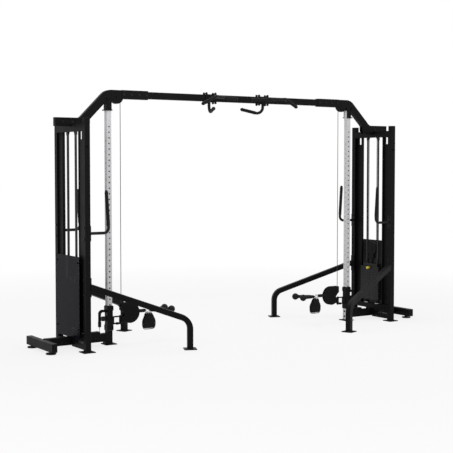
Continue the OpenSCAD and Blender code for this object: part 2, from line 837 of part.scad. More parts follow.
// Both falls of the lifting cable and the loop under the travelling pulley.
module stack_cable() {
  color("#1c1c1e") translate([xu, 0, float_z]) {
    for (y = [-float_r, float_r]) cyl_z(0, cross_bottom + 6 - float_z, cable_r, 0, y);
    rotate([0, 90, 0]) rotate([0, 0, -90]) rotate_extrude(angle = 180)
      translate([float_r, 0]) circle(r = cable_r);
  }
}

// Cable from the swivel pulley through the nose to the stopper.
module end_cable() {
  color("#1c1c1e") {
    translate([swivel_x, 0, swivel_z]) rotate([90, 0, 0]) rotate([0, 0, 180])
      rotate_extrude(angle = 90) translate([swivel_r, 0]) circle(r = cable_r);
    cyl_x(swivel_x, stopper_x1 - 10, cable_r, 0, exit_z);
  }
}

// Thin cable from the lift lever into the base beam.
module low_cable() {
  color("#1c1c1e") cyl_z(60, hook_z + 14, 2, lever_x);
}

crossbeam();
beam_sleeves();
grip_clamps();
wide_grips();
neutral_grips();
frame_bolts();
crossbar_feet();
rubber_fittings();
guard_strips();
shields();
guide_rods();
tower_handles();
column_brackets();
cross_members();
pulley_cheeks();
stabiliser_legs();
base_beams();
idle_cables();
uprights();  // left_uprights
gooseneck();  // left_gooseneck
column();  // left_column
weight_plates();  // left_weight_plates
lift_plates();  // left_lift_plates
floating_yoke();  // left_floating_yoke
floating_wheel();  // left_floating_wheel
selector_pin();  // left_selector_pin
carriage();  // left_carriage
pop_pin();  // left_pop_pin
swivel_housing();  // left_swivel_housing
swivel_wheel();  // left_swivel_wheel
stopper();  // left_stopper
carabiner();  // left_carabiner
cuff();  // left_cuff
ball_handle();  // left_ball_handle
beam_wheel();  // left_beam_wheel
column_cable();  // left_column_cable
stack_cable();  // left_stack_cable
end_cable();  // left_end_cable
low_cable();  // left_low_cable
mirror([1, 0, 0]) uprights();  // right_uprights
mirror([1, 0, 0]) gooseneck();  // right_gooseneck
mirror([1, 0, 0]) column();  // right_column
mirror([1, 0, 0]) weight_plates();  // right_weight_plates
mirror([1, 0, 0]) lift_plates();  // right_lift_plates
mirror([1, 0, 0]) floating_yoke();  // right_floating_yoke
mirror([1, 0, 0]) floating_wheel();  // right_floating_wheel
mirror([1, 0, 0]) selector_pin();  // right_selector_pin
mirror([1, 0, 0]) carriage();  // right_carriage
mirror([1, 0, 0]) pop_pin();  // right_pop_pin
mirror([1, 0, 0]) swivel_housing();  // right_swivel_housing
mirror([1, 0, 0]) swivel_wheel();  // right_swivel_wheel
mirror([1, 0, 0]) stopper();  // right_stopper
mirror([1, 0, 0]) carabiner();  // right_carabiner
mirror([1, 0, 0]) cuff();  // right_cuff
mirror([1, 0, 0]) ball_handle();  // right_ball_handle
mirror([1, 0, 0]) beam_wheel();  // right_beam_wheel
mirror([1, 0, 0]) column_cable();  // right_column_cable
mirror([1, 0, 0]) stack_cable();  // right_stack_cable
mirror([1, 0, 0]) end_cable();  // right_end_cable
mirror([1, 0, 0]) low_cable();  // right_low_cable
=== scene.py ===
# %% [markdown]
# # A cable crossover machine
# Two weight-stack towers stand about four metres apart, joined overhead by a steel beam. Each tower has a
# silver adjustment column with a carriage that slides on it, and a swivelling pulley housing on the carriage.
# The imported model gives every steel part at its real size, and the bodies that move. This notebook gives the
# parts their finishes and adds the small things that make a machine look made: rubber sleeves, weld beads,
# dome nuts, bearings, coated cables, and a padded ankle cuff.

# %% Load the imported model
import json
import math

import bmesh
import bpy
from mathutils import Matrix, Vector


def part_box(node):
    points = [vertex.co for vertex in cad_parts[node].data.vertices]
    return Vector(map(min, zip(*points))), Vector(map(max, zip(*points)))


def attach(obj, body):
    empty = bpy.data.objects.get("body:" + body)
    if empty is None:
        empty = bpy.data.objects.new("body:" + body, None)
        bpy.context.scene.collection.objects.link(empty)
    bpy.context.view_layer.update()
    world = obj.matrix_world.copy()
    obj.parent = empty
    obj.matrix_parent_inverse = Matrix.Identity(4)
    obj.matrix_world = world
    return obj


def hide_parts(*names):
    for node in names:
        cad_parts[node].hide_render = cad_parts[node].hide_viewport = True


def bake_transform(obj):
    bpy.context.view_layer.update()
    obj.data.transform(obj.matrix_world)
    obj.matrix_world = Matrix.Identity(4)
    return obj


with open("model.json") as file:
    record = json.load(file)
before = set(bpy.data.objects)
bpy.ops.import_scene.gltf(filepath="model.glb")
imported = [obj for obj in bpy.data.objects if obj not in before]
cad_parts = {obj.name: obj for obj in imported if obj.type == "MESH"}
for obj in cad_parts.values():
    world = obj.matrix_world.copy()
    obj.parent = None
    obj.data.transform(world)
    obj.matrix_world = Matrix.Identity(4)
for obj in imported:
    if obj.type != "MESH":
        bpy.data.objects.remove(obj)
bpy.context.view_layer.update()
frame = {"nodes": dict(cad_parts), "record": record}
scene = bpy.context.scene
nodes = frame["nodes"]
SIDES = ("left", "right")

# %% [markdown]
# ## Camera, light and floor
# The camera stands low, in front of the left tower, and looks across the machine. A long lens keeps the
# uprights nearly parallel. The light is a plain studio: wide soft lamps high on the left, in front and
# overhead, and a pale world. The floor is white to the eye yet keeps a soft shadow: its shader shows plain
# white to camera and mirror rays in a share that grows to all of it far away, so no horizon shows.

# %% Camera
camera_data = bpy.data.cameras.new("camera")
camera_data.sensor_width = 36
camera_data.lens = 84.37
camera_data.shift_x = -0.0062
camera_data.shift_y = -0.0221
camera_data.clip_end = 60
camera = bpy.data.objects.new("camera", camera_data)
camera.location = (-5.6616, -8.5846, 1.6014)
camera.rotation_euler = (math.radians(87.32), 0, math.radians(-33.03))
scene.collection.objects.link(camera)
scene.camera = camera
scene.view_settings.view_transform = "Standard"
print("camera", round(camera.location.length, 2), "m from the middle of the machine")


# %% A short way to write shader nodes
def shader_node(tree, kind, inputs=None, **settings):
    """Adds a shader node. An input is given a value, or a link where the value is another node's output."""
    made = tree.nodes.new("ShaderNode" + kind)
    for label, value in settings.items():
        setattr(made, label, value)
    for label, value in (inputs or {}).items():
        if isinstance(value, bpy.types.NodeSocket):
            tree.links.new(value, made.inputs[label])
        else:
            made.inputs[label].default_value = value
    return made


def maths(tree, operation, first, second=0.0, clamp=False):
    """The output of one Math node."""
    made = shader_node(tree, "Math", {0: first, 1: second}, operation=operation, use_clamp=clamp)
    return made.outputs[0]


def linear(red, green, blue):
    """A colour given 0 to 255, as the linear colour that a shader takes."""
    shares = [value / 255 for value in (red, green, blue)]
    curved = [s / 12.92 if s <= 0.04045 else ((s + 0.055) / 1.055) ** 2.4 for s in shares]
    return (*curved, 1.0)


# %% Floor, world and lamps
def seen_directly(tree):
    """1 for camera, mirror and glass rays, and 0 for the rays that carry the floor's light to the machine."""
    path = shader_node(tree, "LightPath")
    mirror = maths(tree, "MAXIMUM", path.outputs["Is Camera Ray"], path.outputs["Is Glossy Ray"])
    return maths(tree, "MAXIMUM", mirror, path.outputs["Is Transmission Ray"])


FLOOR_SIZE = 40


def make_floor():
    """A plain sheet that goes from part white near the machine to all white far away."""
    mesh = bmesh.new()
    bmesh.ops.create_grid(mesh, x_segments=1, y_segments=1, size=FLOOR_SIZE)
    data = bpy.data.meshes.new("studio_floor")
    mesh.to_mesh(data)
    mesh.free()
    floor = bpy.data.objects.new("studio_floor", data)
    floor.location.z = -0.0005
    scene.collection.objects.link(floor)
    material = bpy.data.materials.new("studio_floor")
    material.use_nodes = True
    tree = material.node_tree
    tree.nodes.clear()
    place = shader_node(tree, "TexCoord").outputs["Object"]
    far = shader_node(tree, "VectorMath", {0: place}, operation="LENGTH").outputs["Value"]
    share = shader_node(tree, "MapRange", {0: far, 1: 3.0, 2: 7.0, 3: 0.80, 4: 1.0}).outputs[0]
    fac = maths(tree, "MULTIPLY", share, seen_directly(tree))
    plain = shader_node(tree, "BsdfDiffuse", {"Color": (0.82, 0.82, 0.82, 1)}).outputs[0]
    white = shader_node(tree, "Emission", {"Color": (1, 1, 1, 1), "Strength": 1.0}).outputs[0]
    mixed = shader_node(tree, "MixShader", {0: fac, 1: plain, 2: white}).outputs[0]
    shader_node(tree, "OutputMaterial", {"Surface": mixed})
    data.materials.append(material)


def make_world():
    """White where it is seen, and a little over half as strong where it lights."""
    world = bpy.data.worlds.new("pale_studio")
    scene.world = world
    world.use_nodes = True
    tree = world.node_tree
    tree.nodes.clear()
    strength = maths(tree, "MULTIPLY_ADD", seen_directly(tree), 0.45)
    strength.node.inputs[2].default_value = 0.55
    sky = shader_node(tree, "Background", {"Color": (1, 1, 1, 1), "Strength": strength}).outputs[0]
    shader_node(tree, "OutputWorld", {"Surface": sky})


def make_lamp(name, place, aim, width, watts):
    """A wide lamp at place that looks at aim."""
    lamp = bpy.data.lights.new(name, "AREA")
    lamp.shape = "RECTANGLE"
    lamp.size = width
    lamp.size_y = width * 0.7
    lamp.energy = watts
    thing = bpy.data.objects.new(name, lamp)
    thing.location = place
    thing.rotation_euler = (Vector(aim) - Vector(place)).to_track_quat("-Z", "Y").to_euler()
    scene.collection.objects.link(thing)


make_floor()
make_world()
make_lamp("key_lamp", (-7.5, -5.0, 4.2), (0, 0, 0.9), 4.0, 150)
make_lamp("front_lamp", (4.0, -8.5, 4.5), (0, 0, 1.1), 5.0, 170)
make_lamp("top_lamp", (0, 1.5, 6.5), (0, 0, 1.0), 5.0, 120)
print("floor, world and", len(bpy.data.lights), "lamps")

# %% [markdown]
# ## Effects that several finishes share
# Each is a shader node group, built once and placed in every material that needs it with its own values.
# They give masks and heights only, and the material decides what to do with them:
# - paint_grain is the fine orange peel of powder coat, with broad soft patches where the coat is thicker.
# - edge_rub finds edges by comparing a rounded normal with the true one, broken up by noise.
# - settled_dust is stronger on faces that look up.
# - drawn_lines are the long faint marks of drawn or polished metal.
# - cloth_weave is an over-and-under weave, and pebble is the grain of moulded rubber.


# %% A way to start and finish a node group
def new_group(name, inputs, outputs):
    """A shader group with named number sockets, as (tree, its input sockets, its output sockets)."""
    group = bpy.data.node_groups.new(name, "ShaderNodeTree")
    for label, value in inputs.items():
        socket = group.interface.new_socket(label, in_out="INPUT", socket_type="NodeSocketFloat")
        socket.default_value = value
    for label in outputs:
        group.interface.new_socket(label, in_out="OUTPUT", socket_type="NodeSocketFloat")
    way_in = group.nodes.new("NodeGroupInput")
    way_out = group.nodes.new("NodeGroupOutput")
    return group, way_in.outputs, way_out.inputs


def object_noise(tree, scale, detail=2.0, stretch=(1, 1, 1)):
    """Noise in the part's own space, stretched if asked."""
    place = shader_node(tree, "TexCoord").outputs["Object"]
    moved = shader_node(tree, "Mapping", {"Vector": place, "Scale": stretch}).outputs[0]
    return shader_node(tree, "TexNoise", {"Vector": moved, "Scale": scale, "Detail": detail}).outputs[0]


# %% paint_grain
grain_group, given, made = new_group("paint_grain", {"Scale": 420.0}, ("Height", "Patches"))
grain_group.links.new(object_noise(grain_group, given["Scale"], 2.0), made["Height"])
grain_group.links.new(object_noise(grain_group, 7.0, 3.0), made["Patches"])

# %% edge_rub
rub_group, given, made = new_group("edge_rub", {"Width": 0.002, "Amount": 0.5}, ("Mask",))
rounded = shader_node(rub_group, "Bevel", {"Radius": given["Width"]}, samples=4).outputs[0]
true_normal = shader_node(rub_group, "NewGeometry").outputs["Normal"]
meeting = shader_node(rub_group, "VectorMath", {0: rounded, 1: true_normal}, operation="DOT_PRODUCT")
turn = maths(rub_group, "SUBTRACT", 1.0, meeting.outputs["Value"])
sharp = maths(rub_group, "MULTIPLY", turn, 9.0, clamp=True)
broken = shader_node(rub_group, "MapRange", {0: object_noise(rub_group, 60.0, 4.0), 1: 0.42, 2: 0.62})
rubbed = maths(rub_group, "MULTIPLY", sharp, broken.outputs[0])
rub_group.links.new(maths(rub_group, "MULTIPLY", rubbed, given["Amount"], clamp=True), made["Mask"])

# %% settled_dust
dust_group, given, made = new_group("settled_dust", {"Amount": 0.3}, ("Mask",))
normal = shader_node(dust_group, "NewGeometry").outputs["Normal"]
up = shader_node(dust_group, "SeparateXYZ", {0: normal}).outputs["Z"]
lying = shader_node(dust_group, "MapRange", {0: up, 1: 0.3, 2: 1.0}).outputs[0]
cloud = shader_node(dust_group, "MapRange", {0: object_noise(dust_group, 26.0, 5.0), 1: 0.3, 2: 0.7})
settled = maths(dust_group, "MULTIPLY", lying, cloud.outputs[0])
dust_group.links.new(maths(dust_group, "MULTIPLY", settled, given["Amount"], clamp=True), made["Mask"])

# %% drawn_lines
lines_group, given, made = new_group("drawn_lines", {"Scale": 1.0}, ("Lines", "Cloud"))
streaks = object_noise(lines_group, 1.0, 3.0, (900, 900, 9))
lines_group.links.new(maths(lines_group, "MULTIPLY", streaks, given["Scale"]), made["Lines"])
lines_group.links.new(object_noise(lines_group, 11.0, 3.0), made["Cloud"])

# %% cloth_weave
weave_group, given, made = new_group("cloth_weave", {"Threads": 900.0}, ("Height", "Shade"))
place = shader_node(weave_group, "TexCoord").outputs["Object"]
parts = shader_node(weave_group, "SeparateXYZ", {0: place}).outputs
warp = maths(weave_group, "SINE", maths(weave_group, "MULTIPLY", parts["X"], given["Threads"]))
weft = maths(weave_group, "SINE", maths(weave_group, "MULTIPLY", parts["Z"], given["Threads"]))
crossed = maths(weave_group, "MULTIPLY", warp, weft)
height = shader_node(weave_group, "MapRange", {0: crossed, 1: -1.0, 2: 1.0}).outputs[0]
weave_group.links.new(height, made["Height"])
fuzz = object_noise(weave_group, 240.0, 3.0)
weave_group.links.new(maths(weave_group, "MULTIPLY", height, fuzz), made["Shade"])

# %% pebble
pebble_group, given, made = new_group("pebble", {"Scale": 700.0}, ("Height", "Patches"))
place = shader_node(pebble_group, "TexCoord").outputs["Object"]
cells = shader_node(pebble_group, "TexVoronoi", {"Vector": place, "Scale": given["Scale"]})
pebble_group.links.new(cells.outputs["Distance"], made["Height"])
pebble_group.links.new(object_noise(pebble_group, 30.0, 3.0), made["Patches"])
print([group.name for group in bpy.data.node_groups])

# %% [markdown]
# ## Finishes
# Each material starts from a Principled shader with its constants typed on its own sockets. Colour and
# roughness then get a small change over the surface from the shared effects, and the bump carries the
# grain. The changes are kept small, because a new machine is clean: the eye only misses them when they
# are gone.


# %% Start and finish a material
finishes = {}


def place_group(tree, group, **values):
    """Puts a shared effect into a material, as its outputs."""
    placed = tree.nodes.new("ShaderNodeGroup")
    placed.node_tree = group
    for label, value in values.items():
        placed.inputs[label].default_value = value
    return placed.outputs


def new_finish(name, slot, **constants):
    """A material with a Principled shader, listed with the record's slot, as (tree, the shader's inputs)."""
    material = bpy.data.materials.new(name)
    material.use_nodes = True
    tree = material.node_tree
    shader = tree.nodes["Principled BSDF"]
    for label, value in constants.items():
        shader.inputs[label.replace("_", " ")].default_value = value
    finishes[name] = (material, slot)
    return tree, shader.inputs


def vary_colour(tree, target, first, second, mask):
    """Mixes two colours by a mask and feeds the target socket. A colour is a tuple or another mix."""
    mixed = shader_node(tree, "Mix", {0: mask, 6: first, 7: second}, data_type="RGBA").outputs[2]
    if target is not None:
        tree.links.new(mixed, target)
    return mixed


def vary_number(tree, target, low, high, mask):
    """Feeds a number between low and high to the target socket."""
    ranged = shader_node(tree, "MapRange", {0: mask, 1: 0.25, 2: 0.75, 3: low, 4: high})
    tree.links.new(ranged.outputs[0], target)


def raise_grain(tree, target, height, depth, strength):
    """Feeds a bump of that depth, in metres, to the target socket."""
    bump = shader_node(tree, "Bump", {"Height": height, "Distance": depth, "Strength": strength})
    tree.links.new(bump.outputs[0], target)


# %% Powder coat on the frame and on the carriage
def powder_coat(name, slot, dark, light, rough):
    """Satin black powder coat: fine peel, broad patches, a little rub at the edges, dust on top faces."""
    tree, shader = new_finish(name, slot, IOR=1.5, Specular_IOR_Level=0.07)
    grain = place_group(tree, grain_group, Scale=420.0)
    rub = place_group(tree, rub_group, Width=0.0025, Amount=0.55)
    dust = place_group(tree, dust_group, Amount=0.10)
    paint = vary_colour(tree, None, dark, light, grain["Patches"])
    worn = vary_colour(tree, None, paint, linear(70, 71, 74), rub["Mask"])
    vary_colour(tree, shader["Base Color"], worn, linear(96, 94, 91), dust["Mask"])
    vary_number(tree, shader["Roughness"], rough - 0.05, rough + 0.07, grain["Patches"])
    raise_grain(tree, shader["Normal"], grain["Height"], 0.0004, 0.35)


powder_coat("frame_powder_coat", "frame_black", linear(10, 10, 11), linear(16, 16, 17), 0.46)
powder_coat("carriage_powder_coat", "carriage_black", linear(12, 12, 13), linear(18, 18, 19), 0.40)


# %% Silver columns, chromed rods, links and bolts
def silver_column():
    """The column's silver coat: metal flakes under lacquer, marked along its length by the carriage."""
    tree, shader = new_finish("column_silver_coat", "column_silver", Metallic=0.12, Specular_IOR_Level=0.4)
    lines = place_group(tree, lines_group, Scale=1.0)
    grain = place_group(tree, grain_group, Scale=900.0)
    rub = place_group(tree, rub_group, Width=0.0016, Amount=0.5)
    base = vary_colour(tree, None, linear(198, 198, 200), linear(214, 214, 216), lines["Cloud"])
    vary_colour(tree, shader["Base Color"], base, linear(150, 150, 152), rub["Mask"])
    vary_number(tree, shader["Roughness"], 0.30, 0.42, lines["Lines"])
    raise_grain(tree, shader["Normal"], grain["Height"], 0.0002, 0.25)


def drawn_metal(name, slot, dark, light, smooth, rough):
    """Bare metal with long faint marks."""
    tree, shader = new_finish(name, slot, Metallic=1.0)
    lines = place_group(tree, lines_group, Scale=1.0)
    vary_colour(tree, shader["Base Color"], dark, light, lines["Cloud"])
    vary_number(tree, shader["Roughness"], smooth, rough, lines["Lines"])
    raise_grain(tree, shader["Normal"], lines["Lines"], 0.0001, 0.2)


silver_column()
# The guide rods' near-black base colour is a painted reflection: it stands in for the dark surroundings that
# the polished rods reflect.
drawn_metal("guide_rod_steel", "guide_chrome", linear(40, 41, 43), linear(60, 61, 64), 0.20, 0.32)
drawn_metal("link_polish", "link_steel", linear(196, 198, 202), linear(220, 222, 225), 0.12, 0.24)
drawn_metal("bearing_steel", "link_steel", linear(150, 152, 156), linear(182, 184, 188), 0.20, 0.34)


def black_oxide():
    """Bolts blackened in a bath: the steel's gloss stays under a thin dark skin, thinner at the corners."""
    tree, shader = new_finish("black_oxide_bolts", "bolt_steel", Metallic=0.35, Specular_IOR_Level=0.15)
    lines = place_group(tree, lines_group, Scale=1.0)
    rub = place_group(tree, rub_group, Width=0.001, Amount=0.6)
    skin = vary_colour(tree, None, linear(20, 20, 21), linear(30, 30, 32), lines["Cloud"])
    vary_colour(tree, shader["Base Color"], skin, linear(74, 75, 78), rub["Mask"])
    vary_number(tree, shader["Roughness"], 0.34, 0.48, lines["Lines"])
    raise_grain(tree, shader["Normal"], lines["Lines"], 0.0001, 0.2)


black_oxide()


# %% Cast plates, pulley nylon, rubber and moulded feet
def enamel(name, slot, shades, bare, rub_of, rough, grain_size, bump, **constants):
    """Paint in two shades over a pebbled skin, rubbed to a bare colour at the edges."""
    tree, shader = new_finish(name, slot, **constants)
    pebbles = place_group(tree, pebble_group, Scale=grain_size)
    rub = place_group(tree, rub_group, Width=rub_of[0], Amount=rub_of[1])
    paint = vary_colour(tree, None, *shades, pebbles["Patches"])
    vary_colour(tree, shader["Base Color"], paint, bare, rub["Mask"])
    vary_number(tree, shader["Roughness"], *rough, pebbles["Patches"])
    raise_grain(tree, shader["Normal"], pebbles["Height"], *bump)


def moulded(name, slot, dark, light, rough, grain_size, depth):
    """Rubber or plastic from a mould: an even pebble grain, with a soft bloom in patches."""
    tree, shader = new_finish(name, slot, IOR=1.48, Specular_IOR_Level=0.16)
    pebbles = place_group(tree, pebble_group, Scale=grain_size)
    dust = place_group(tree, dust_group, Amount=0.07)
    base = vary_colour(tree, None, dark, light, pebbles["Patches"])
    vary_colour(tree, shader["Base Color"], base, linear(112, 110, 106), dust["Mask"])
    vary_number(tree, shader["Roughness"], rough - 0.06, rough + 0.08, pebbles["Patches"])
    raise_grain(tree, shader["Normal"], pebbles["Height"], depth, 0.5)


# Weight plates: black enamel over a sand-cast skin, so the coat is glossy but never flat.
enamel("cast_plate_enamel", "weight_iron", (linear(16, 16, 17), linear(25, 25, 27)), linear(108, 106, 103),
       (0.002, 0.7), (0.36, 0.52), 380.0, (0.0008, 0.5), Specular_IOR_Level=0.2)
moulded("pulley_nylon", "pulley_nylon", linear(26, 26, 28), linear(36, 36, 38), 0.40, 500, 0.0002)
moulded("stopper_rubber", "rubber_black", linear(13, 13, 14), linear(20, 20, 21), 0.62, 700, 0.0005)
moulded("ball_rubber", "handle_rubber", linear(13, 13, 14), linear(20, 20, 21), 0.50, 650, 0.0003)
moulded("foot_plastic", "foot_plastic", linear(15, 15, 16), linear(22, 22, 23), 0.52, 520, 0.0004)
moulded("grip_tube_coat", "grip_black", linear(15, 15, 16), linear(21, 21, 23), 0.46, 420, 0.0003)


# %% Ribbed hand grips
def ribbed_grip():
    """Rubber hand grips: an even pebble grain, a little smoother and greyer in patches."""
    tree, shader = new_finish("ribbed_grip_rubber", "grip_black", IOR=1.45, Specular_IOR_Level=0.2)
    pebbles = place_group(tree, pebble_group, Scale=900.0)
    vary_colour(tree, shader["Base Color"], linear(13, 13, 14), linear(22, 22, 23), pebbles["Patches"])
    vary_number(tree, shader["Roughness"], 0.58, 0.74, pebbles["Patches"])
    raise_grain(tree, shader["Normal"], pebbles["Height"], 0.0006, 0.6)


# %% Smoked shield and coated cable
def smoked_shield():
    """Smoked acrylic sheet: a little see-through, with a slightly uneven tint."""
    tree, shader = new_finish("smoked_acrylic", "smoked_acrylic", IOR=1.49, Specular_IOR_Level=0.03)
    grain = place_group(tree, grain_group, Scale=40.0)
    vary_colour(tree, shader["Base Color"], linear(16, 17, 24), linear(23, 24, 32), grain["Patches"])
    vary_number(tree, shader["Roughness"], 0.10, 0.22, grain["Height"])
    vary_number(tree, shader["Alpha"], 0.88, 0.92, grain["Patches"])


def coated_cable():
    """Wire rope under a clear black coat: the twist of the strands shows as slanting ridges."""
    tree, shader = new_finish("coated_cable", "cable_black", IOR=1.5, Specular_IOR_Level=0.25)
    place = shader_node(tree, "TexCoord").outputs["Object"]
    twist = {"Vector": place, "Scale": 150.0, "Distortion": 0.0}
    strands = shader_node(tree, "TexWave", twist, bands_direction="DIAGONAL").outputs["Fac"]
    grain = place_group(tree, grain_group, Scale=200.0)
    vary_colour(tree, shader["Base Color"], linear(16, 16, 17), linear(32, 32, 34), strands)
    vary_number(tree, shader["Roughness"], 0.26, 0.40, grain["Patches"])
    raise_grain(tree, shader["Normal"], strands, 0.0004, 0.5)


# %% Cuff cloth, webbing and thread
def cuff_cloth(name, threads, dark, light, depth):
    """Woven cloth with a faint sheen."""
    sheen = {"Sheen_Weight": 0.06, "Sheen_Roughness": 0.5}
    tree, shader = new_finish(name, "cuff_fabric", IOR=1.4, Specular_IOR_Level=0.15, **sheen)
    weave = place_group(tree, weave_group, Threads=threads)
    vary_colour(tree, shader["Base Color"], dark, light, weave["Shade"])
    vary_number(tree, shader["Roughness"], 0.74, 0.92, weave["Shade"])
    raise_grain(tree, shader["Normal"], weave["Height"], depth, 0.8)


ribbed_grip()
smoked_shield()
# The yellow pin is bright and glossy, and darker where its edges are rubbed.
enamel("pin_yellow_gloss", "pin_yellow", (linear(222, 200, 40), linear(236, 218, 62)), linear(150, 136, 60),
       (0.0015, 0.5), (0.22, 0.34), 500.0, (0.0002, 0.3), IOR=1.5, Coat_Weight=0.5)
coated_cable()
cuff_cloth("cuff_ballistic_cloth", 3600.0, linear(13, 13, 15), linear(30, 30, 33), 0.0005)
cuff_cloth("cuff_webbing", 2600.0, linear(10, 10, 11), linear(26, 26, 28), 0.0007)
cuff_cloth("cuff_thread", 6000.0, linear(52, 52, 55), linear(78, 78, 82), 0.0003)
print(len(finishes), "finishes")

# %% [markdown]
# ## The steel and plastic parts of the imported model
# These already have the right shape, so each one only needs its finish, and softer edges. A rolled tube has
# round corners and a sheared plate has a small burr-free edge. Both come from modifiers: the faces are
# joined, edges over 35 degrees get a small round, and the normals are weighted by face size, so flat
# faces stay flat and each edge catches a thin line of light.

# %% Finishes by part
FINISH_OF_SLOT = {
    "frame_black": "frame_powder_coat",
    "carriage_black": "carriage_powder_coat",
    "column_silver": "column_silver_coat",
    "grip_black": "grip_tube_coat",
    "bolt_steel": "black_oxide_bolts",
    "link_steel": "link_polish",
    "guide_chrome": "guide_rod_steel",
    "weight_iron": "cast_plate_enamel",
    "pulley_nylon": "pulley_nylon",
    "pin_yellow": "pin_yellow_gloss",
    "foot_plastic": "foot_plastic",
    "rubber_black": "stopper_rubber",
    "handle_rubber": "ball_rubber",
    "cuff_fabric": "cuff_ballistic_cloth",
    "cable_black": "coated_cable",
    "smoked_acrylic": "smoked_acrylic",
}
EDGE_OF_SLOT = {
    "frame_black": 0.0022,
    "carriage_black": 0.0012,
    "column_silver": 0.0022,
    "weight_iron": 0.0016,
    "foot_plastic": 0.003,
    "rubber_black": 0.0015,
    "smoked_acrylic": 0.0008,
    "bolt_steel": 0.0008,
    "pulley_nylon": 0.0006,
    "pin_yellow": 0.0015,
}


def soften_edges(thing, width):
    """Joins the part's faces, rounds its sharp edges by width, and weights its normals."""
    join = thing.modifiers.new("join", "WELD")
    join.merge_threshold = 0.00002
    flatten = thing.modifiers.new("flatten", "DECIMATE")
    flatten.decimate_type = "DISSOLVE"
    flatten.angle_limit = math.radians(0.5)
    round_off = thing.modifiers.new("round_off", "BEVEL")
    round_off.width = width
    round_off.segments = 2
    round_off.limit_method = "ANGLE"
    round_off.angle_limit = math.radians(35)
    weigh = thing.modifiers.new("weigh", "WEIGHTED_NORMAL")
    weigh.keep_sharp = True


rounded_parts = 0
for part in frame["record"]["subparts"]:
    thing = nodes[part["node"]]
    slot = part["material_slot"]
    material = finishes[FINISH_OF_SLOT[slot]][0]
    thing.data.materials.clear()
    thing.data.materials.append(material)
    if slot in EDGE_OF_SLOT:
        soften_edges(thing, EDGE_OF_SLOT[slot])
        rounded_parts += 1
print(rounded_parts, "parts with softened edges of", len(nodes))

# %% [markdown]
# ## Where the small pieces go
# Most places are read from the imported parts' boxes, so a piece lands where its neighbour is. The bent grips,
# the bolts, the welds and the snap link need their own numbers, since a box can't say where a bend or a hole
# is. All are for the left tower, and each piece is mirrored for the right one.

# %% Places of the left tower
def corners_of(node):
    """The low and high corner of a part's box, in metres."""
    return [Vector(corner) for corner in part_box(node)]


def middle(node):
    low, high = corners_of(node)
    return (low + high) / 2


column_front = corners_of("left_column")[0].y
column_x = middle("left_column").x
stack_x = middle("left_weight_plates").x
drop_cable = middle("left_column_cable")
lever_cable = middle("left_low_cable")
swivel_wheel = middle("left_swivel_wheel")
beam_wheel = middle("left_beam_wheel")
travelling_wheel = middle("left_floating_wheel")
stopper_end = corners_of("left_stopper")[1].x
cuff_low, cuff_high = corners_of("left_cuff")
carriage_top = corners_of("left_carriage")[1].z
pin_height = middle("left_pop_pin").z
MM = 0.001
UPRIGHT_Y = 0.291
HALF_TUBE = 0.025
PLATE_TOP = 0.008
BEAM_HEIGHT = 2.251
print("column", round(column_x, 3), "stack", round(stack_x, 3), "cable", round(drop_cable.x, 3))

# %% [markdown]
# ## Three ways to make a form
# Round things are turned: a profile goes round an axis, as on a lathe. Bars, cables and weld beads are swept:
# a circle follows a path. Sheet and webbing are lofted: rings of points are joined one to the next. Each
# helper returns a bmesh, so several forms can be put into one piece before it becomes an object.


# %% Turned forms
def in_metres(profile):
    """A profile typed in millimetres."""
    return [(across * MM, along * MM) for across, along in profile]


def turned(profile, start, end, steps=28, lobes=0, lobe_depth=0.0):
    """A closed profile of (radius, distance from start) turned round the line from start to end."""
    start, end = Vector(start), Vector(end)
    across = (end - start).to_track_quat("Z", "Y").to_matrix()
    form = bmesh.new()
    rings = []
    for step in range(steps):
        angle = 2 * math.pi * step / steps
        push = lobe_depth * math.cos(lobes * angle) if lobes else 0.0
        ring = []
        for radius, along in profile:
            reach = radius + (push if radius > 0.008 else 0.0)
            local = Vector((reach * math.cos(angle), reach * math.sin(angle), along))
            ring.append(form.verts.new(start + across @ local))
        rings.append(ring)
    count = len(profile)
    for step in range(steps):
        ring, following = rings[step], rings[(step + 1) % steps]
        for i in range(count):
            j = (i + 1) % count
            form.faces.new((ring[i], following[i], following[j], ring[j]))
    bmesh.ops.remove_doubles(form, verts=form.verts, dist=1e-6)
    return form


def sleeve_profile(inner, outer, length, rib_pitch=0.0, rib=0.0, flange=0.0):
    """The section of a hand grip: a tube with a rounded flange at each end and ribs between them."""
    edge = 0.0012
    rim = outer + flange
    points = [(inner, 0.0), (rim - edge, 0.0), (rim, edge)]
    points += [(rim, 0.006), (rim - edge, 0.0072), (outer, 0.0085)]
    if rib_pitch:
        count = int((length - 0.020) / rib_pitch)
        first = (length - count * rib_pitch) / 2
        for i in range(count):
            at = first + i * rib_pitch
            points += [(outer, at + 0.12 * rib_pitch), (outer + rib, at + 0.3 * rib_pitch)]
            points += [(outer + rib, at + 0.7 * rib_pitch), (outer, at + 0.88 * rib_pitch)]
    points += [(outer, length - 0.0085), (rim - edge, length - 0.0072), (rim, length - 0.006)]
    points += [(rim, length - edge), (rim - edge, length), (inner, length)]
    return points


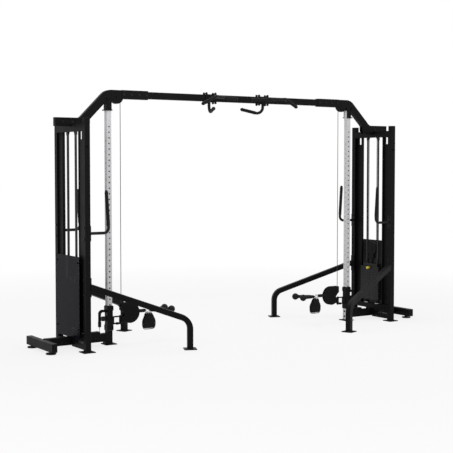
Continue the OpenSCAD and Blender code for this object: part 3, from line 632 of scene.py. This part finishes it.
# %% Swept forms
def swept(path, radius, sides=12, closed=False, ripple=0.0):
    """A round bar along a path. Ripple makes every other ring thinner, as in a weld bead."""
    points = [Vector(point) for point in path]
    count = len(points)
    form = bmesh.new()
    rings = []
    side_way = None
    for i, point in enumerate(points):
        before = points[i - 1] if closed or i else points[0]
        after = points[(i + 1) % count] if closed or i < count - 1 else points[-1]
        forward = (after - before).normalized()
        if side_way is None:
            side_way = forward.orthogonal().normalized()
        side_way = (side_way - side_way.dot(forward) * forward).normalized()
        up_way = forward.cross(side_way)
        reach = radius * (1 - ripple * (i % 2))
        ring = []
        for k in range(sides):
            angle = 2 * math.pi * k / sides
            out = math.cos(angle) * side_way + math.sin(angle) * up_way
            ring.append(form.verts.new(point + reach * out))
        rings.append(ring)
    for i in range(count if closed else count - 1):
        ring, following = rings[i], rings[(i + 1) % count]
        best = 0
        if closed and i == count - 1:
            gaps = [(ring[0].co - following[k].co).length for k in range(sides)]
            best = gaps.index(min(gaps))
        for k in range(sides):
            m = (k + 1) % sides
            form.faces.new((ring[k], ring[m], following[(m + best) % sides], following[(k + best) % sides]))
    if not closed:
        form.faces.new(list(reversed(rings[0])))
        form.faces.new(rings[-1])
    return form


def evenly(path, spacing, closed=False):
    """The path with points added so that none are further apart than spacing."""
    points = [Vector(point) for point in path]
    ends = points + [points[0]] if closed else points
    spread = []
    for here, there in zip(ends, ends[1:]):
        pieces = max(1, round((there - here).length / spacing))
        spread += [here.lerp(there, i / pieces) for i in range(pieces)]
    return spread if closed else spread + [points[-1]]


def arc(centre, radius, first, last, steps, plane="XZ"):
    """Points on a circle from angle first to last, in degrees, in the XZ or YZ plane."""
    points = []
    for i in range(steps + 1):
        angle = math.radians(first + (last - first) * i / steps)
        across, up = radius * math.cos(angle), radius * math.sin(angle)
        step = Vector((across, 0, up)) if plane == "XZ" else Vector((0, across, up))
        points.append(Vector(centre) + step)
    return points


# %% Lofted forms
def lofted(rings, closed_ends=True):
    """A skin over rings that have the same number of points."""
    form = bmesh.new()
    skin = [[form.verts.new(point) for point in ring] for ring in rings]
    count = len(skin[0])
    for ring, following in zip(skin, skin[1:]):
        for k in range(count):
            m = (k + 1) % count
            form.faces.new((ring[k], ring[m], following[m], following[k]))
    if closed_ends:
        form.faces.new(list(reversed(skin[0])))
        form.faces.new(skin[-1])
    return form


def joined(forms):
    """Several forms in one bmesh."""
    whole = bmesh.new()
    for form in forms:
        data = bpy.data.meshes.new("part_of_whole")
        form.to_mesh(data)
        form.free()
        whole.from_mesh(data)
        bpy.data.meshes.remove(data)
    return whole


# %% From form to finished piece
made_pieces = []


def make_piece(name, form, finish, side, body=None, sharp=35.0):
    """An object from a left-hand form, mirrored for the right, with its finish, and riding on its body."""
    if side == "right":
        form = form.copy()
        for corner in form.verts:
            corner.co.x = -corner.co.x
    bmesh.ops.recalc_face_normals(form, faces=form.faces)
    data = bpy.data.meshes.new(f"{side}_{name}")
    form.to_mesh(data)
    data.polygons.foreach_set("use_smooth", [True] * len(data.polygons))
    data.set_sharp_from_angle(angle=math.radians(sharp))
    material, slot = finishes[finish]
    data.materials.append(material)
    piece = bpy.data.objects.new(f"{side}_{name}", data)
    scene.collection.objects.link(piece)
    if body:
        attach(piece, body if body == "frame" else f"{side}_{body}")
    made_pieces.append(piece.name)
    return piece


def both_sides(name, form, finish, body, sharp=35.0):
    """The same piece on both towers."""
    return [make_piece(name, form, finish, side, body, sharp) for side in SIDES]


# %% [markdown]
# ## Cables
# The real ones are wire rope under a black coat, 6 mm thick, pulled tight over the wheels. The imported model
# holds each run as a plain rod. The wraps round the travelling wheel and the swivel wheel are made in the
# same sweep as the runs that leave them. The fall beside the column is in two pieces: a long one from the
# beam wheel down, and a short one below it down to the swivel wheel.

# %% Cable runs
CABLE = 3.0 * MM
LEVER_CABLE = 2.0 * MM
LEAD_LENGTH = 0.140
LEAD_STRAIGHT = 0.050
top_of_drop = Vector((drop_cable.x, 0, beam_wheel.z))
foot_of_drop = Vector((drop_cable.x, 0, swivel_wheel.z))
lead_in = foot_of_drop + Vector((0, 0, LEAD_LENGTH))
swivel_groove = swivel_wheel.x - drop_cable.x
exit_height = swivel_wheel.z - swivel_groove
stack_cable_low, stack_cable_high = corners_of("left_stack_cable")
stack_groove = (stack_cable_high.y - stack_cable_low.y) / 2 - CABLE
stack_cable_top = stack_cable_high.z
stack_path = [Vector((stack_x, stack_groove, stack_cable_top))]
stack_path += arc(travelling_wheel, stack_groove, 0, -180, 28, "YZ")
stack_path += [Vector((stack_x, -stack_groove, stack_cable_top))]
low_path = [Vector((lever_cable.x, 0, corner.z)) for corner in corners_of("left_low_cable")]
pulled_end = stopper_end - 0.010
pull_path = arc(swivel_wheel, swivel_groove, 180, 270, 14)
pull_path += [Vector((pulled_end, 0, exit_height))]
over_beam_wheel = arc(beam_wheel, drop_cable.x - beam_wheel.x, 0, 90, 12)


def cable_piece(name, path, radius, side, replaced, bodies, start, end):
    """A cable that stands for a packed run."""
    piece = make_piece(name, swept(evenly(path, 0.02), radius, 12), "coated_cable", side)
    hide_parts(f"{side}_{replaced}")
    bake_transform(piece)


for side in SIDES:
    drop = [top_of_drop, lead_in]
    cable_piece("drop_cable", drop, CABLE, side, "column_cable", ("frame", "carriage_body"), *drop)
    lead = [lead_in, foot_of_drop]
    turning_from = foot_of_drop + Vector((0, 0, LEAD_STRAIGHT))
    lead_bodies = ("carriage_body", "swivel")
    cable_piece("lead_cable", lead, CABLE, side, "column_cable", lead_bodies, lead_in, turning_from)
    stack_ends = (Vector((stack_x, 0, stack_cable_top)), Vector((stack_x, 0, travelling_wheel.z)))
    cable_piece("stack_loop", stack_path, CABLE, side, "stack_cable", ("frame", "lift"), *stack_ends)
    lever_bodies = ("frame", "carriage_body")
    cable_piece("lever_cable", low_path, LEVER_CABLE, side, "low_cable", lever_bodies, *low_path)
    pull_ends = [Vector((x, 0, exit_height)) for x in (swivel_wheel.x + 0.03, pulled_end - 0.03)]
    cable_piece("pulled_cable", pull_path, CABLE, side, "end_cable", ("swivel", "pull_end"), *pull_ends)
both_sides("beam_wheel_wrap", swept(over_beam_wheel, CABLE, 12), "coated_cable", "frame")
print("cables", [name for name in made_pieces if "left" in name])

# %% [markdown]
# ## Rubber hand grips
# The grips are rubber sleeves pushed over the bent tubes, with fine rings for hold and a rounded flange at
# each end. The rings are real shape, turned with the sleeve, because a bump alone would leave its outline
# smooth.

# %% Sleeves on the grab handles
GRIP_START = Vector((-1.5211, 0, 1.0759))
GRIP_WAY = Vector((-math.sin(math.radians(3.7)), 0, math.cos(math.radians(3.7))))


def grip_sleeve(start, end, inner, outer, rib=0.7 * MM, flange=2.2 * MM):
    """A ribbed sleeve from start to end."""
    length = (Vector(end) - Vector(start)).length
    return turned(sleeve_profile(inner, outer, length, 0.0055, rib, flange), start, end)


handle_sleeves = []
for y in (-UPRIGHT_Y, UPRIGHT_Y):
    foot = GRIP_START + GRIP_WAY * 0.016 + Vector((0, y, 0))
    head = GRIP_START + GRIP_WAY * 0.304 + Vector((0, y, 0))
    handle_sleeves.append(grip_sleeve(foot, head, 12.6 * MM, 15.0 * MM))
both_sides("handle_sleeves", joined(handle_sleeves), "ribbed_grip_rubber", "frame")

# %% Sleeves on the pull-up grips
WIDE = [Vector((-0.092, -0.145, 2.242)), Vector((-0.393, -0.264, 2.252)), Vector((-0.533, -0.252, 2.181))]
HOOK_WAY = math.radians(45.8)
HOOK_RUN = [(0.0700, 2.1288), (0.2114, 2.1654)]


def on_hook(across, height):
    """A point on the J-shaped grip, in the upright plane that the grip lies in."""
    return Vector((-0.310 + across * math.cos(HOOK_WAY), across * math.sin(HOOK_WAY), height))


hook_start, hook_end = (on_hook(*point) for point in HOOK_RUN)
SLEEVE_RUNS = [(WIDE[0], WIDE[1], 0.02, 0.58), (WIDE[1], WIDE[2], 0.16, 0.99)]
SLEEVE_RUNS += [(hook_start, hook_end, 0.05, 1.0)]
pull_up_sleeves = []
for start, end, first, last in SLEEVE_RUNS:
    sleeve_ends = (start.lerp(end, first), start.lerp(end, last))
    pull_up_sleeves.append(grip_sleeve(*sleeve_ends, 13.6 * MM, 15.8 * MM))
both_sides("pull_up_sleeves", joined(pull_up_sleeves), "ribbed_grip_rubber", "frame")

# %% Grip on the lift lever, and its cable ferrule
lever_low = 0.1645
grip_foot, grip_head = (Vector((lever_cable.x, 0, z)) for z in (lever_low, pin_height - 0.026))
both_sides("lever_grip", grip_sleeve(grip_foot, grip_head, 12.6 * MM, 14.4 * MM, 0.6 * MM, 1.0 * MM),
           "ribbed_grip_rubber", "carriage_body")
ferrule = in_metres([(2.2, 0), (4.6, 1), (5.4, 3), (5.4, 11), (4.2, 13), (2.2, 13)])
ferrule_foot = Vector((lever_cable.x, 0, lever_low - 0.013))
both_sides("lever_ferrule", turned(ferrule, ferrule_foot, ferrule_foot + Vector((0, 0, 0.013))),
           "bearing_steel", "carriage_body")

# %% [markdown]
# ## Handles with ball ends
# Each handle is two thick arms that spread from an eye, each to a ball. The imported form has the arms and
# balls. Added here are a raised collar where an arm meets its ball, a flat parting line round the ball, and
# a foam tube on each arm.

# %% Collars, parting lines and foam tubes
BALL_RADIUS = 33 * MM
ball_centre = corners_of("left_ball_handle")[1] - Vector((BALL_RADIUS, BALL_RADIUS, BALL_RADIUS))
ARM_START = Vector((-0.943, 0.005, 0.277))
collar = in_metres([(13.5, 0), (15.2, 0.4), (16.6, 3), (17.8, 8), (20.5, 14), (18, 15.5), (13.5, 15.5)])
line_round_ball = in_metres([(32.2, -1.0), (33.45, -0.9), (33.7, 0), (33.45, 0.9), (32.2, 1.0)])
mouldings, foam_tubes = [], []
for flip in (1, -1):
    arm_foot = Vector((ARM_START.x, ARM_START.y * flip, ARM_START.z))
    ball = Vector((ball_centre.x, ball_centre.y * flip, ball_centre.z))
    way = (ball - arm_foot).normalized()
    mouldings.append(turned(collar, ball - way * 0.0425, ball))
    mouldings.append(turned(line_round_ball, ball, ball + way, 40))
    foam = sleeve_profile(13.6 * MM, 16.4 * MM, (ball - arm_foot).length - 0.070)
    foam_tubes.append(turned(foam, arm_foot + way * 0.026, ball, 32))
both_sides("ball_collars", joined(mouldings), "ball_rubber", "pull_handle")
both_sides("arm_foam", joined(foam_tubes), "ribbed_grip_rubber", "pull_handle")

# %% [markdown]
# ## Fasteners and fittings
# A machine like this is welded and bolted. The welds show as a rippled bead round the foot of each tube, so
# each is a thin bar swept round the joint with every other ring a little smaller. Washers sit under the
# bolt heads, dome nuts hold the shields, and steel cups hold the bumpers under the stack.


# %% Weld beads
def bead(path, closed=False):
    """A rippled weld bead along a path."""
    return swept(evenly(path, 0.0026, closed), 2.8 * MM, 8, closed, ripple=0.14)


def square_path(x, y, half_x, half_y, z, turn=0.0):
    """The corners of a rectangle on the floor side of a tube, turned about its middle."""
    corners = [Vector((sx * half_x, sy * half_y, 0)) for sx, sy in ((-1, -1), (1, -1), (1, 1), (-1, 1))]
    spin = Matrix.Rotation(turn, 3, "Z")
    return [Vector((x, y, z)) + spin @ corner for corner in corners]


crossbar_x = corners_of("cross_members")[0].x + 0.050
HEAD_LOW, HEAD_HIGH, SADDLE_TOP = 1.908, 1.956, 1.972
LEG_FOOT = Vector((column_x + 0.479, 0.627, 0))
LEG_TURN = math.atan2(LEG_FOOT.y - 0.300, LEG_FOOT.x - (stack_x + 0.030))
beads = [bead(square_path(column_x - 0.0125, 0, 0.0355, 0.028, PLATE_TOP), True)]
for way in (-1, 1):
    y = way * UPRIGHT_Y
    face = way * (UPRIGHT_Y - HALF_TUBE)
    beads.append(bead(square_path(stack_x, y, HALF_TUBE, HALF_TUBE, PLATE_TOP), True))
    leg_square = (LEG_FOOT.x, way * LEG_FOOT.y, HALF_TUBE, HALF_TUBE, PLATE_TOP, way * LEG_TURN)
    beads.append(bead(square_path(*leg_square), True))
    seams = [(face, z) for z in (0.072, 0.108, 0.158, HEAD_LOW, HEAD_HIGH)] + [(way * 0.0215, SADDLE_TOP)]
    for seam_y, z in seams:
        beads.append(bead([(stack_x - 0.024, seam_y, z), (stack_x + 0.024, seam_y, z)]))
    beads.append(bead([(crossbar_x, way * HALF_TUBE, 0.097), (crossbar_x, way * HALF_TUBE, 0.031)]))
beads.append(bead([(crossbar_x, -HALF_TUBE, 0.031), (crossbar_x, HALF_TUBE, 0.031)]))
both_sides("weld_beads", joined(beads), "frame_powder_coat", "frame", 60)


# %% Washers under the bolt heads
def washer(centre, way, radius=12):
    """A flat washer with broken edges, on a face that looks along way. The radius is in millimetres."""
    section = in_metres([(4.5, 0), (radius, 0), (radius, 1.2), (radius - 0.4, 1.7), (4.5, 1.7)])
    centre = Vector(centre)
    return turned(section, centre, centre + Vector(way), 24)


washers = []
for y in (-UPRIGHT_Y, UPRIGHT_Y):
    for z in (0.502, 0.630, 0.978, 1.078):
        plate = 0.006 if z > 0.7 else 0.007
        washers.append(washer((stack_x - HALF_TUBE, y, z), (-1, 0, 0)))
        washers.append(washer((stack_x + HALF_TUBE + plate, y, z), (1, 0, 0)))
sleeve_start = corners_of("beam_sleeves")[0].x
for way in (-1, 1):
    for i in range(4):
        washers.append(washer((sleeve_start + 0.020 + 0.076 * i, way * 0.024, BEAM_HEIGHT), (0, way, 0)))
    for x in (stack_x, stack_x - 0.092):
        washers.append(washer((x, way * 0.021, 1.994), (0, way, 0)))
    for dx in (-0.050, 0.050):
        for dz in (-0.044, 0.044):
            washers.append(washer((-0.302 + dx, way * 0.026, BEAM_HEIGHT + dz), (0, way, 0), 10))
both_sides("frame_washers", joined(washers), "black_oxide_bolts", "frame")

# %% Dome nuts on the shields
dome = [(0, 0), (11, 0), (11, 1.4), (8.2, 1.6), (8.2, 5.0), (7.4, 8.0), (5.2, 10.4), (2.4, 11.6), (0, 12.0)]
dome = in_metres(dome)
shield_face = corners_of("shields")[0].x
nuts = []
for y in (-0.215, 0.215):
    for z in (0.190, 0.770):
        nuts.append(turned(dome, (shield_face, y, z), (shield_face - 0.01, y, z), 24))
both_sides("shield_nuts", joined(nuts), "black_oxide_bolts", "frame")

# %% Bumper cups and column wiper
cup = in_metres([(22.3, 0), (27, 0), (27, 8), (26, 9.4), (24.5, 10), (22.3, 10)])
cups = [turned(cup, (stack_x, y, 0.158), (stack_x, y, 0.168), 32) for y in (-0.084, 0.084)]
both_sides("bumper_cups", joined(cups), "bearing_steel", "frame")
wiper_ring = []
for corner_x, corner_y, first in ((1, 1, 0), (-1, 1, 90), (-1, -1, 180), (1, -1, 270)):
    for i in range(5):
        angle = math.radians(first + 22.5 * i)
        x = column_x + corner_x * 0.0215 + 0.0038 * math.cos(angle)
        y = corner_y * 0.0215 + 0.0038 * math.sin(angle)
        wiper_ring.append(Vector((x, y, carriage_top + 0.0012)))
both_sides("column_wiper", swept(wiper_ring, 1.9 * MM, 8, True), "stopper_rubber", "carriage_body", 60)

# %% Painted shade in the height holes
# A black ring sits in every front hole, with a thin flange on the face of the tube. It is painted shade: it
# stands in for the dark inside of each hole. Its bore stays open into the hollow tube.
hole_shade_profile = [(4.3, 1.0), (4.9, 1.0), (4.9, 3.05), (6.9, 3.05), (6.9, 3.25), (6.6, 3.35), (4.6, 3.35), (4.3, 3.15)]
hole_shade_profile = in_metres(hole_shade_profile)
HOLE_TOP, HOLE_PITCH, HOLE_ROWS = 1.960, 0.050, 34
COLUMN_WALL = 3 * MM
inside = column_front + COLUMN_WALL
hole_shade_rings = []
for row in range(HOLE_ROWS):
    z = HOLE_TOP - HOLE_PITCH * row
    hole_shade_rings.append(turned(hole_shade_profile, (column_x, inside, z), (column_x, inside - 0.004, z), 20))
# The black rings are painted shade in the holes.
both_sides("height_hole_shade", joined(hole_shade_rings), "stopper_rubber", "frame")

# %% Lock knob with finger flutes
KNOB_LENGTH = 0.026
knob = [(9.5, 0), (18.5, 0), (20.4, 1.6), (21.2, 4), (21.2, 20), (20.2, 23.6), (17.5, 25.8), (9.5, 25.8)]
knob = in_metres(knob)
knob_foot = Vector((corners_of("left_pop_pin")[0].x + KNOB_LENGTH, 0, pin_height))
both_sides("lock_knob", turned(knob, knob_foot, knob_foot - Vector((KNOB_LENGTH, 0, 0)), 72, 12, 0.9 * MM),
           "grip_tube_coat", "lock_pin", 40)

# %% Gate sleeve of the snap link, and the wheel bearings
GATE_LENGTH = 0.014
LINK_MIDDLE = Vector((-0.976, 0, 0.290))
gate = in_metres([(4.55, 0), (5.6, 0.4), (6.2, 1.4), (6.2, 12.6), (5.6, 13.6), (4.55, 14)])
gate_foot = LINK_MIDDLE - Vector((GATE_LENGTH / 2, 0, 0))
gate_sleeve = turned(gate, gate_foot, gate_foot + Vector((GATE_LENGTH, 0, 0)), 24)
both_sides("link_gate", gate_sleeve, "bearing_steel", "pull_end")
race = in_metres([(6.2, 0), (13, 0), (13, 0.8), (11.6, 1.2), (9.0, 0.7), (7.2, 1.2), (6.2, 1.0)])


def bearings(centre):
    """A bearing's outer face on each side of a wheel."""
    axis = Vector((0, 1, 0))
    return joined([turned(race, centre + axis * 9 * MM * way, centre + axis * way, 24) for way in (-1, 1)])


both_sides("swivel_bearings", bearings(swivel_wheel), "bearing_steel", "swivel_pulley")
both_sides("beam_bearings", bearings(beam_wheel), "bearing_steel", "top_pulley")
print(len(made_pieces), "pieces so far")

# %% [markdown]
# ## The ankle cuff
# The cuff is a soft strap of black ballistic cloth over foam, folded so that its two halves lie against each
# other, and it hangs from the snap link by a steel ring. A stuffed pad is never flat: the foam pushes the
# cloth out in the middle and pulls the edges in. So each half starts as a flat slab with the cuff's
# outline, is remeshed to even squares, and Blender's cloth fills it with air for twenty frames. Then the
# seams are pressed in, because remeshing would lose them. Binding, webbing, thread and the ring are too
# thin for that and are modelled straight.

# %% Outline of the cuff
CUFF_X = (cuff_low.x + cuff_high.x) / 2 - 6 * MM
CUFF_TOP = cuff_high.z
OUTLINE = [
    (-33, -2), (-18, 5), (6, 6), (26, 3), (40, -8), (56, -36), (69, -68), (75, -98), (72, -126), (61, -146),
    (42, -152), (6, -153), (-30, -152), (-49, -146), (-60, -126), (-63, -98), (-58, -68), (-47, -36),
]


def cuff_outline(shrink=0.0, steps=6):
    """A smooth closed curve through the outline, in (x, z) metres, pulled in by shrink."""
    count = len(OUTLINE)
    centre = Vector((6 * MM, -80 * MM))
    smooth = []
    for i in range(count):
        p0, p1, p2, p3 = (Vector(OUTLINE[(i + k) % count]) * MM for k in (-1, 0, 1, 2))
        for step in range(steps):
            t = step / steps
            point = 0.5 * (2 * p1 + (p2 - p0) * t + (2 * p0 - 5 * p1 + 4 * p2 - p3) * t * t
                           + (3 * p1 - p0 - 3 * p2 + p3) * t ** 3)
            away = point - centre
            point = centre + away * (1 - shrink / away.length)
            smooth.append(Vector((CUFF_X + point.x, CUFF_TOP + point.y)))
    return smooth


# %% Fill one half with air
HALF_INNER, HALF_OUTER = 2.2 * MM, 10.5 * MM


def half_slab():
    """A flat slab with the cuff's outline, smaller than the filled pad."""
    edge = cuff_outline(shrink=4.5 * MM, steps=3)
    rings = [[Vector((p.x, -y, p.y)) for p in edge] for y in (HALF_INNER, HALF_OUTER)]
    return lofted(rings)


def fill_with_air(form, frames=20, cap=5.0 * MM):
    """Remeshes a form and blows it up as cloth. No point moves more than cap."""
    bmesh.ops.recalc_face_normals(form, faces=form.faces)
    data = bpy.data.meshes.new("cuff_pad")
    form.to_mesh(data)
    pad = bpy.data.objects.new("cuff_pad", data)
    scene.collection.objects.link(pad)
    squares = pad.modifiers.new("squares", "REMESH")
    squares.mode = "VOXEL"
    squares.voxel_size = 0.0040
    settle = bpy.context.evaluated_depsgraph_get()
    even = bpy.data.meshes.new_from_object(pad.evaluated_get(settle))
    pad.modifiers.clear()
    pad.data = even
    rest = [corner.co.copy() for corner in even.vertices]
    air = pad.modifiers.new("air", "CLOTH")
    air.settings.use_pressure = True
    air.settings.uniform_pressure_force = 4.0
    air.settings.effector_weights.gravity = 0
    air.settings.tension_stiffness = 12
    air.settings.compression_stiffness = 12
    air.settings.mass = 0.2
    air.settings.quality = 6
    air.point_cache.frame_start = 1
    air.point_cache.frame_end = frames
    for frame_number in range(1, frames + 1):
        scene.frame_set(frame_number)
    settle = bpy.context.evaluated_depsgraph_get()
    blown = [corner.co.copy() for corner in pad.evaluated_get(settle).data.vertices]
    pad.modifiers.clear()
    scene.frame_set(1)
    for corner, start, end in zip(even.vertices, rest, blown):
        move = end - start
        if move.length > cap:
            move *= cap / move.length
        corner.co = start + move
    softer = pad.modifiers.new("softer", "SUBSURF")
    softer.levels = softer.render_levels = 1
    settle = bpy.context.evaluated_depsgraph_get()
    final = bpy.data.meshes.new_from_object(pad.evaluated_get(settle))
    bpy.data.objects.remove(pad)
    filled = bmesh.new()
    filled.from_mesh(final)
    return filled


pad_form = fill_with_air(half_slab())
print("one half of the cuff:", len(pad_form.verts), "points")

# %% Press the seams in
SEAMS = (-0.026, -0.112)
SEAM_WIDTH = 3.2 * MM
SEAM_DEPTH = 2.6 * MM


def press_seams(form):
    """Two sewn channels across the outer face."""
    for corner in form.verts:
        if corner.co.y > -HALF_INNER - 1 * MM:
            continue
        for seam in SEAMS:
            off = (corner.co.z - (CUFF_TOP + seam)) / SEAM_WIDTH
            if abs(off) < 2.5:
                corner.co.y += SEAM_DEPTH * math.exp(-off * off)


press_seams(pad_form)
lows = [min(corner.co[i] for corner in pad_form.verts) for i in range(3)]
highs = [max(corner.co[i] for corner in pad_form.verts) for i in range(3)]
print("pad from", [round(v, 4) for v in lows], "to", [round(v, 4) for v in highs])


# %% Binding, webbing, thread and ring
def half_width_at(z):
    """The cuff's left and right edge at a height, from its outline."""
    edge = cuff_outline(steps=4)
    crossing = []
    for here, there in zip(edge, edge[1:] + edge[:1]):
        if (here.y - z) * (there.y - z) <= 0 and here.y != there.y:
            crossing.append(here.x + (there.x - here.x) * (z - here.y) / (there.y - here.y))
    return min(crossing), max(crossing)


def band_ring(z, proud, steps=48):
    """Points round both halves at one height, a little proud of the cloth."""
    left, right = half_width_at(z)
    centre, half = (left + right) / 2, (right - left) / 2 + proud
    thick = 13.6 * MM + proud
    ring = []
    for step in range(steps):
        angle = 2 * math.pi * step / steps
        c, s = math.cos(angle), math.sin(angle)
        x = math.copysign(abs(c) ** 0.75, c) * half
        y = math.copysign(abs(s) ** 0.62, s) * thick
        ring.append(Vector((centre + x, y, z)))
    return ring


def band(top, bottom, proud, steps=10):
    """A webbing band round the cuff: an outer and an inner skin, closed at its two edges."""
    heights = [CUFF_TOP + top + (bottom - top) * i / steps for i in range(steps + 1)]
    outside = [band_ring(z, proud) for z in heights]
    inside = [band_ring(z, proud - 2.0 * MM) for z in reversed(heights)]
    return lofted(outside + inside + outside[:1], closed_ends=False)


def stitches(path, pitch=4.2 * MM, length=2.8 * MM, radius=0.55 * MM):
    """A row of short threads along a path."""
    spread = evenly(path, pitch)
    made = []
    for here, there in zip(spread, spread[1:]):
        way = (there - here).normalized()
        made.append(swept([here, here + way * length * 0.5, here + way * length], radius, 6))
    return made


def face_line(x0, x1, z, y):
    """A level line on a face of the cuff."""
    return [Vector((x0, y, z)), Vector((x1, y, z))]


edge_path = [Vector((p.x, 0, p.y)) for p in cuff_outline(shrink=1.5 * MM, steps=4)]
binding = swept(edge_path, 3.4 * MM, 8, True)
strap = band(-0.050, -0.088, 2.4 * MM)
TAB_Y = 13.6 * MM + 3.0 * MM
TAB_CORNER = 0.006
tab_x = (CUFF_X - 0.012, CUFF_X + 0.034)


def tab():
    """The hook-and-loop end of the strap, lying on the band, with rounded corners."""
    low, high = CUFF_TOP - 0.086, CUFF_TOP - 0.052
    left, right = tab_x[0] + TAB_CORNER, tab_x[1] - TAB_CORNER
    bottom, top = low + TAB_CORNER, high - TAB_CORNER
    outline = []
    for cx, cz, first in ((right, top, 0), (left, top, 90), (left, bottom, 180), (right, bottom, 270)):
        for i in range(5):
            angle = math.radians(first + 22.5 * i)
            outline.append((cx + TAB_CORNER * math.cos(angle), cz + TAB_CORNER * math.sin(angle)))
    centre_x, centre_z = sum(tab_x) / 2, (low + high) / 2
    rings = []
    for y, grow in ((TAB_Y - 2.2 * MM, 0), (TAB_Y - 0.3 * MM, 0), (TAB_Y + 0.4 * MM, -0.6 * MM)):
        ring = []
        for x, z in outline:
            away = Vector((x - centre_x, z - centre_z))
            away *= 1 + grow / away.length
            ring.append(Vector((centre_x + away.x, -y, centre_z + away.y)))
        rings.append(ring)
    return lofted(rings)


thread_rows = []
for seam in SEAMS:
    for side_step in (-3.6 * MM, 3.6 * MM):
        z = CUFF_TOP + seam + side_step
        left, right = half_width_at(z)
        for y in (-12.2 * MM, 12.2 * MM):
            thread_rows += stitches(face_line(left + 0.016, right - 0.016, z, y))
for z in (CUFF_TOP - 0.0535, CUFF_TOP - 0.0845):
    tab_row = face_line(tab_x[0] + 0.004, tab_x[1] - 0.004, z, -TAB_Y - 0.4 * MM)
    thread_rows += stitches(tab_row, 3.4 * MM, 2.2 * MM)

RING_X = -0.976
RING_CENTRE = Vector((RING_X, 0, 0.2600))
steel_ring = swept(arc(RING_CENTRE, 12 * MM, 0, 360 - 360 / 40, 39, "YZ"), 2.4 * MM, 12, True)


def hanging_tab():
    """Webbing that goes up inside the cuff, through the ring and back down."""
    way_up = [(-7.5, -34), (-7.8, -20), (-6.6, -10), (-3.8, -5.2)]
    route = way_up + [(0, -4.2)] + [(-y, z) for y, z in reversed(way_up)]
    rings = []
    for i, (y, z) in enumerate(route):
        before, after = route[max(i - 1, 0)], route[min(i + 1, len(route) - 1)]
        way = Vector((after[0] - before[0], after[1] - before[1])).normalized()
        out = Vector((-way.y, way.x)) * 1.1
        ring = []
        for sx, so in ((-1, -1), (1, -1), (1, 1), (-1, 1)):
            x = RING_X + sx * 0.0105
            ring.append(Vector((x, (y + so * out.x) * MM, CUFF_TOP + (z + so * out.y) * MM)))
        rings.append(ring)
    return lofted(rings)


# %% Put both cuffs together
back_form = pad_form.copy()
for corner in back_form.verts:
    corner.co.y = -corner.co.y
pads_form = joined([pad_form, back_form])
for side, pads in zip(SIDES, both_sides("cuff_pads", pads_form, "cuff_ballistic_cloth", "ankle_cuff", 80)):
    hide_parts(f"{side}_cuff")
both_sides("cuff_binding", binding, "cuff_webbing", "ankle_cuff", 80)
both_sides("cuff_strap", strap, "cuff_webbing", "ankle_cuff", 50)
both_sides("cuff_tab", tab(), "cuff_ballistic_cloth", "ankle_cuff", 50)
both_sides("cuff_stitches", joined(thread_rows), "cuff_thread", "ankle_cuff", 60)
both_sides("cuff_ring", steel_ring, "link_polish", "ankle_cuff", 60)
both_sides("cuff_hanging_tab", hanging_tab(), "cuff_webbing", "ankle_cuff", 50)
print(len(made_pieces), "pieces made here")
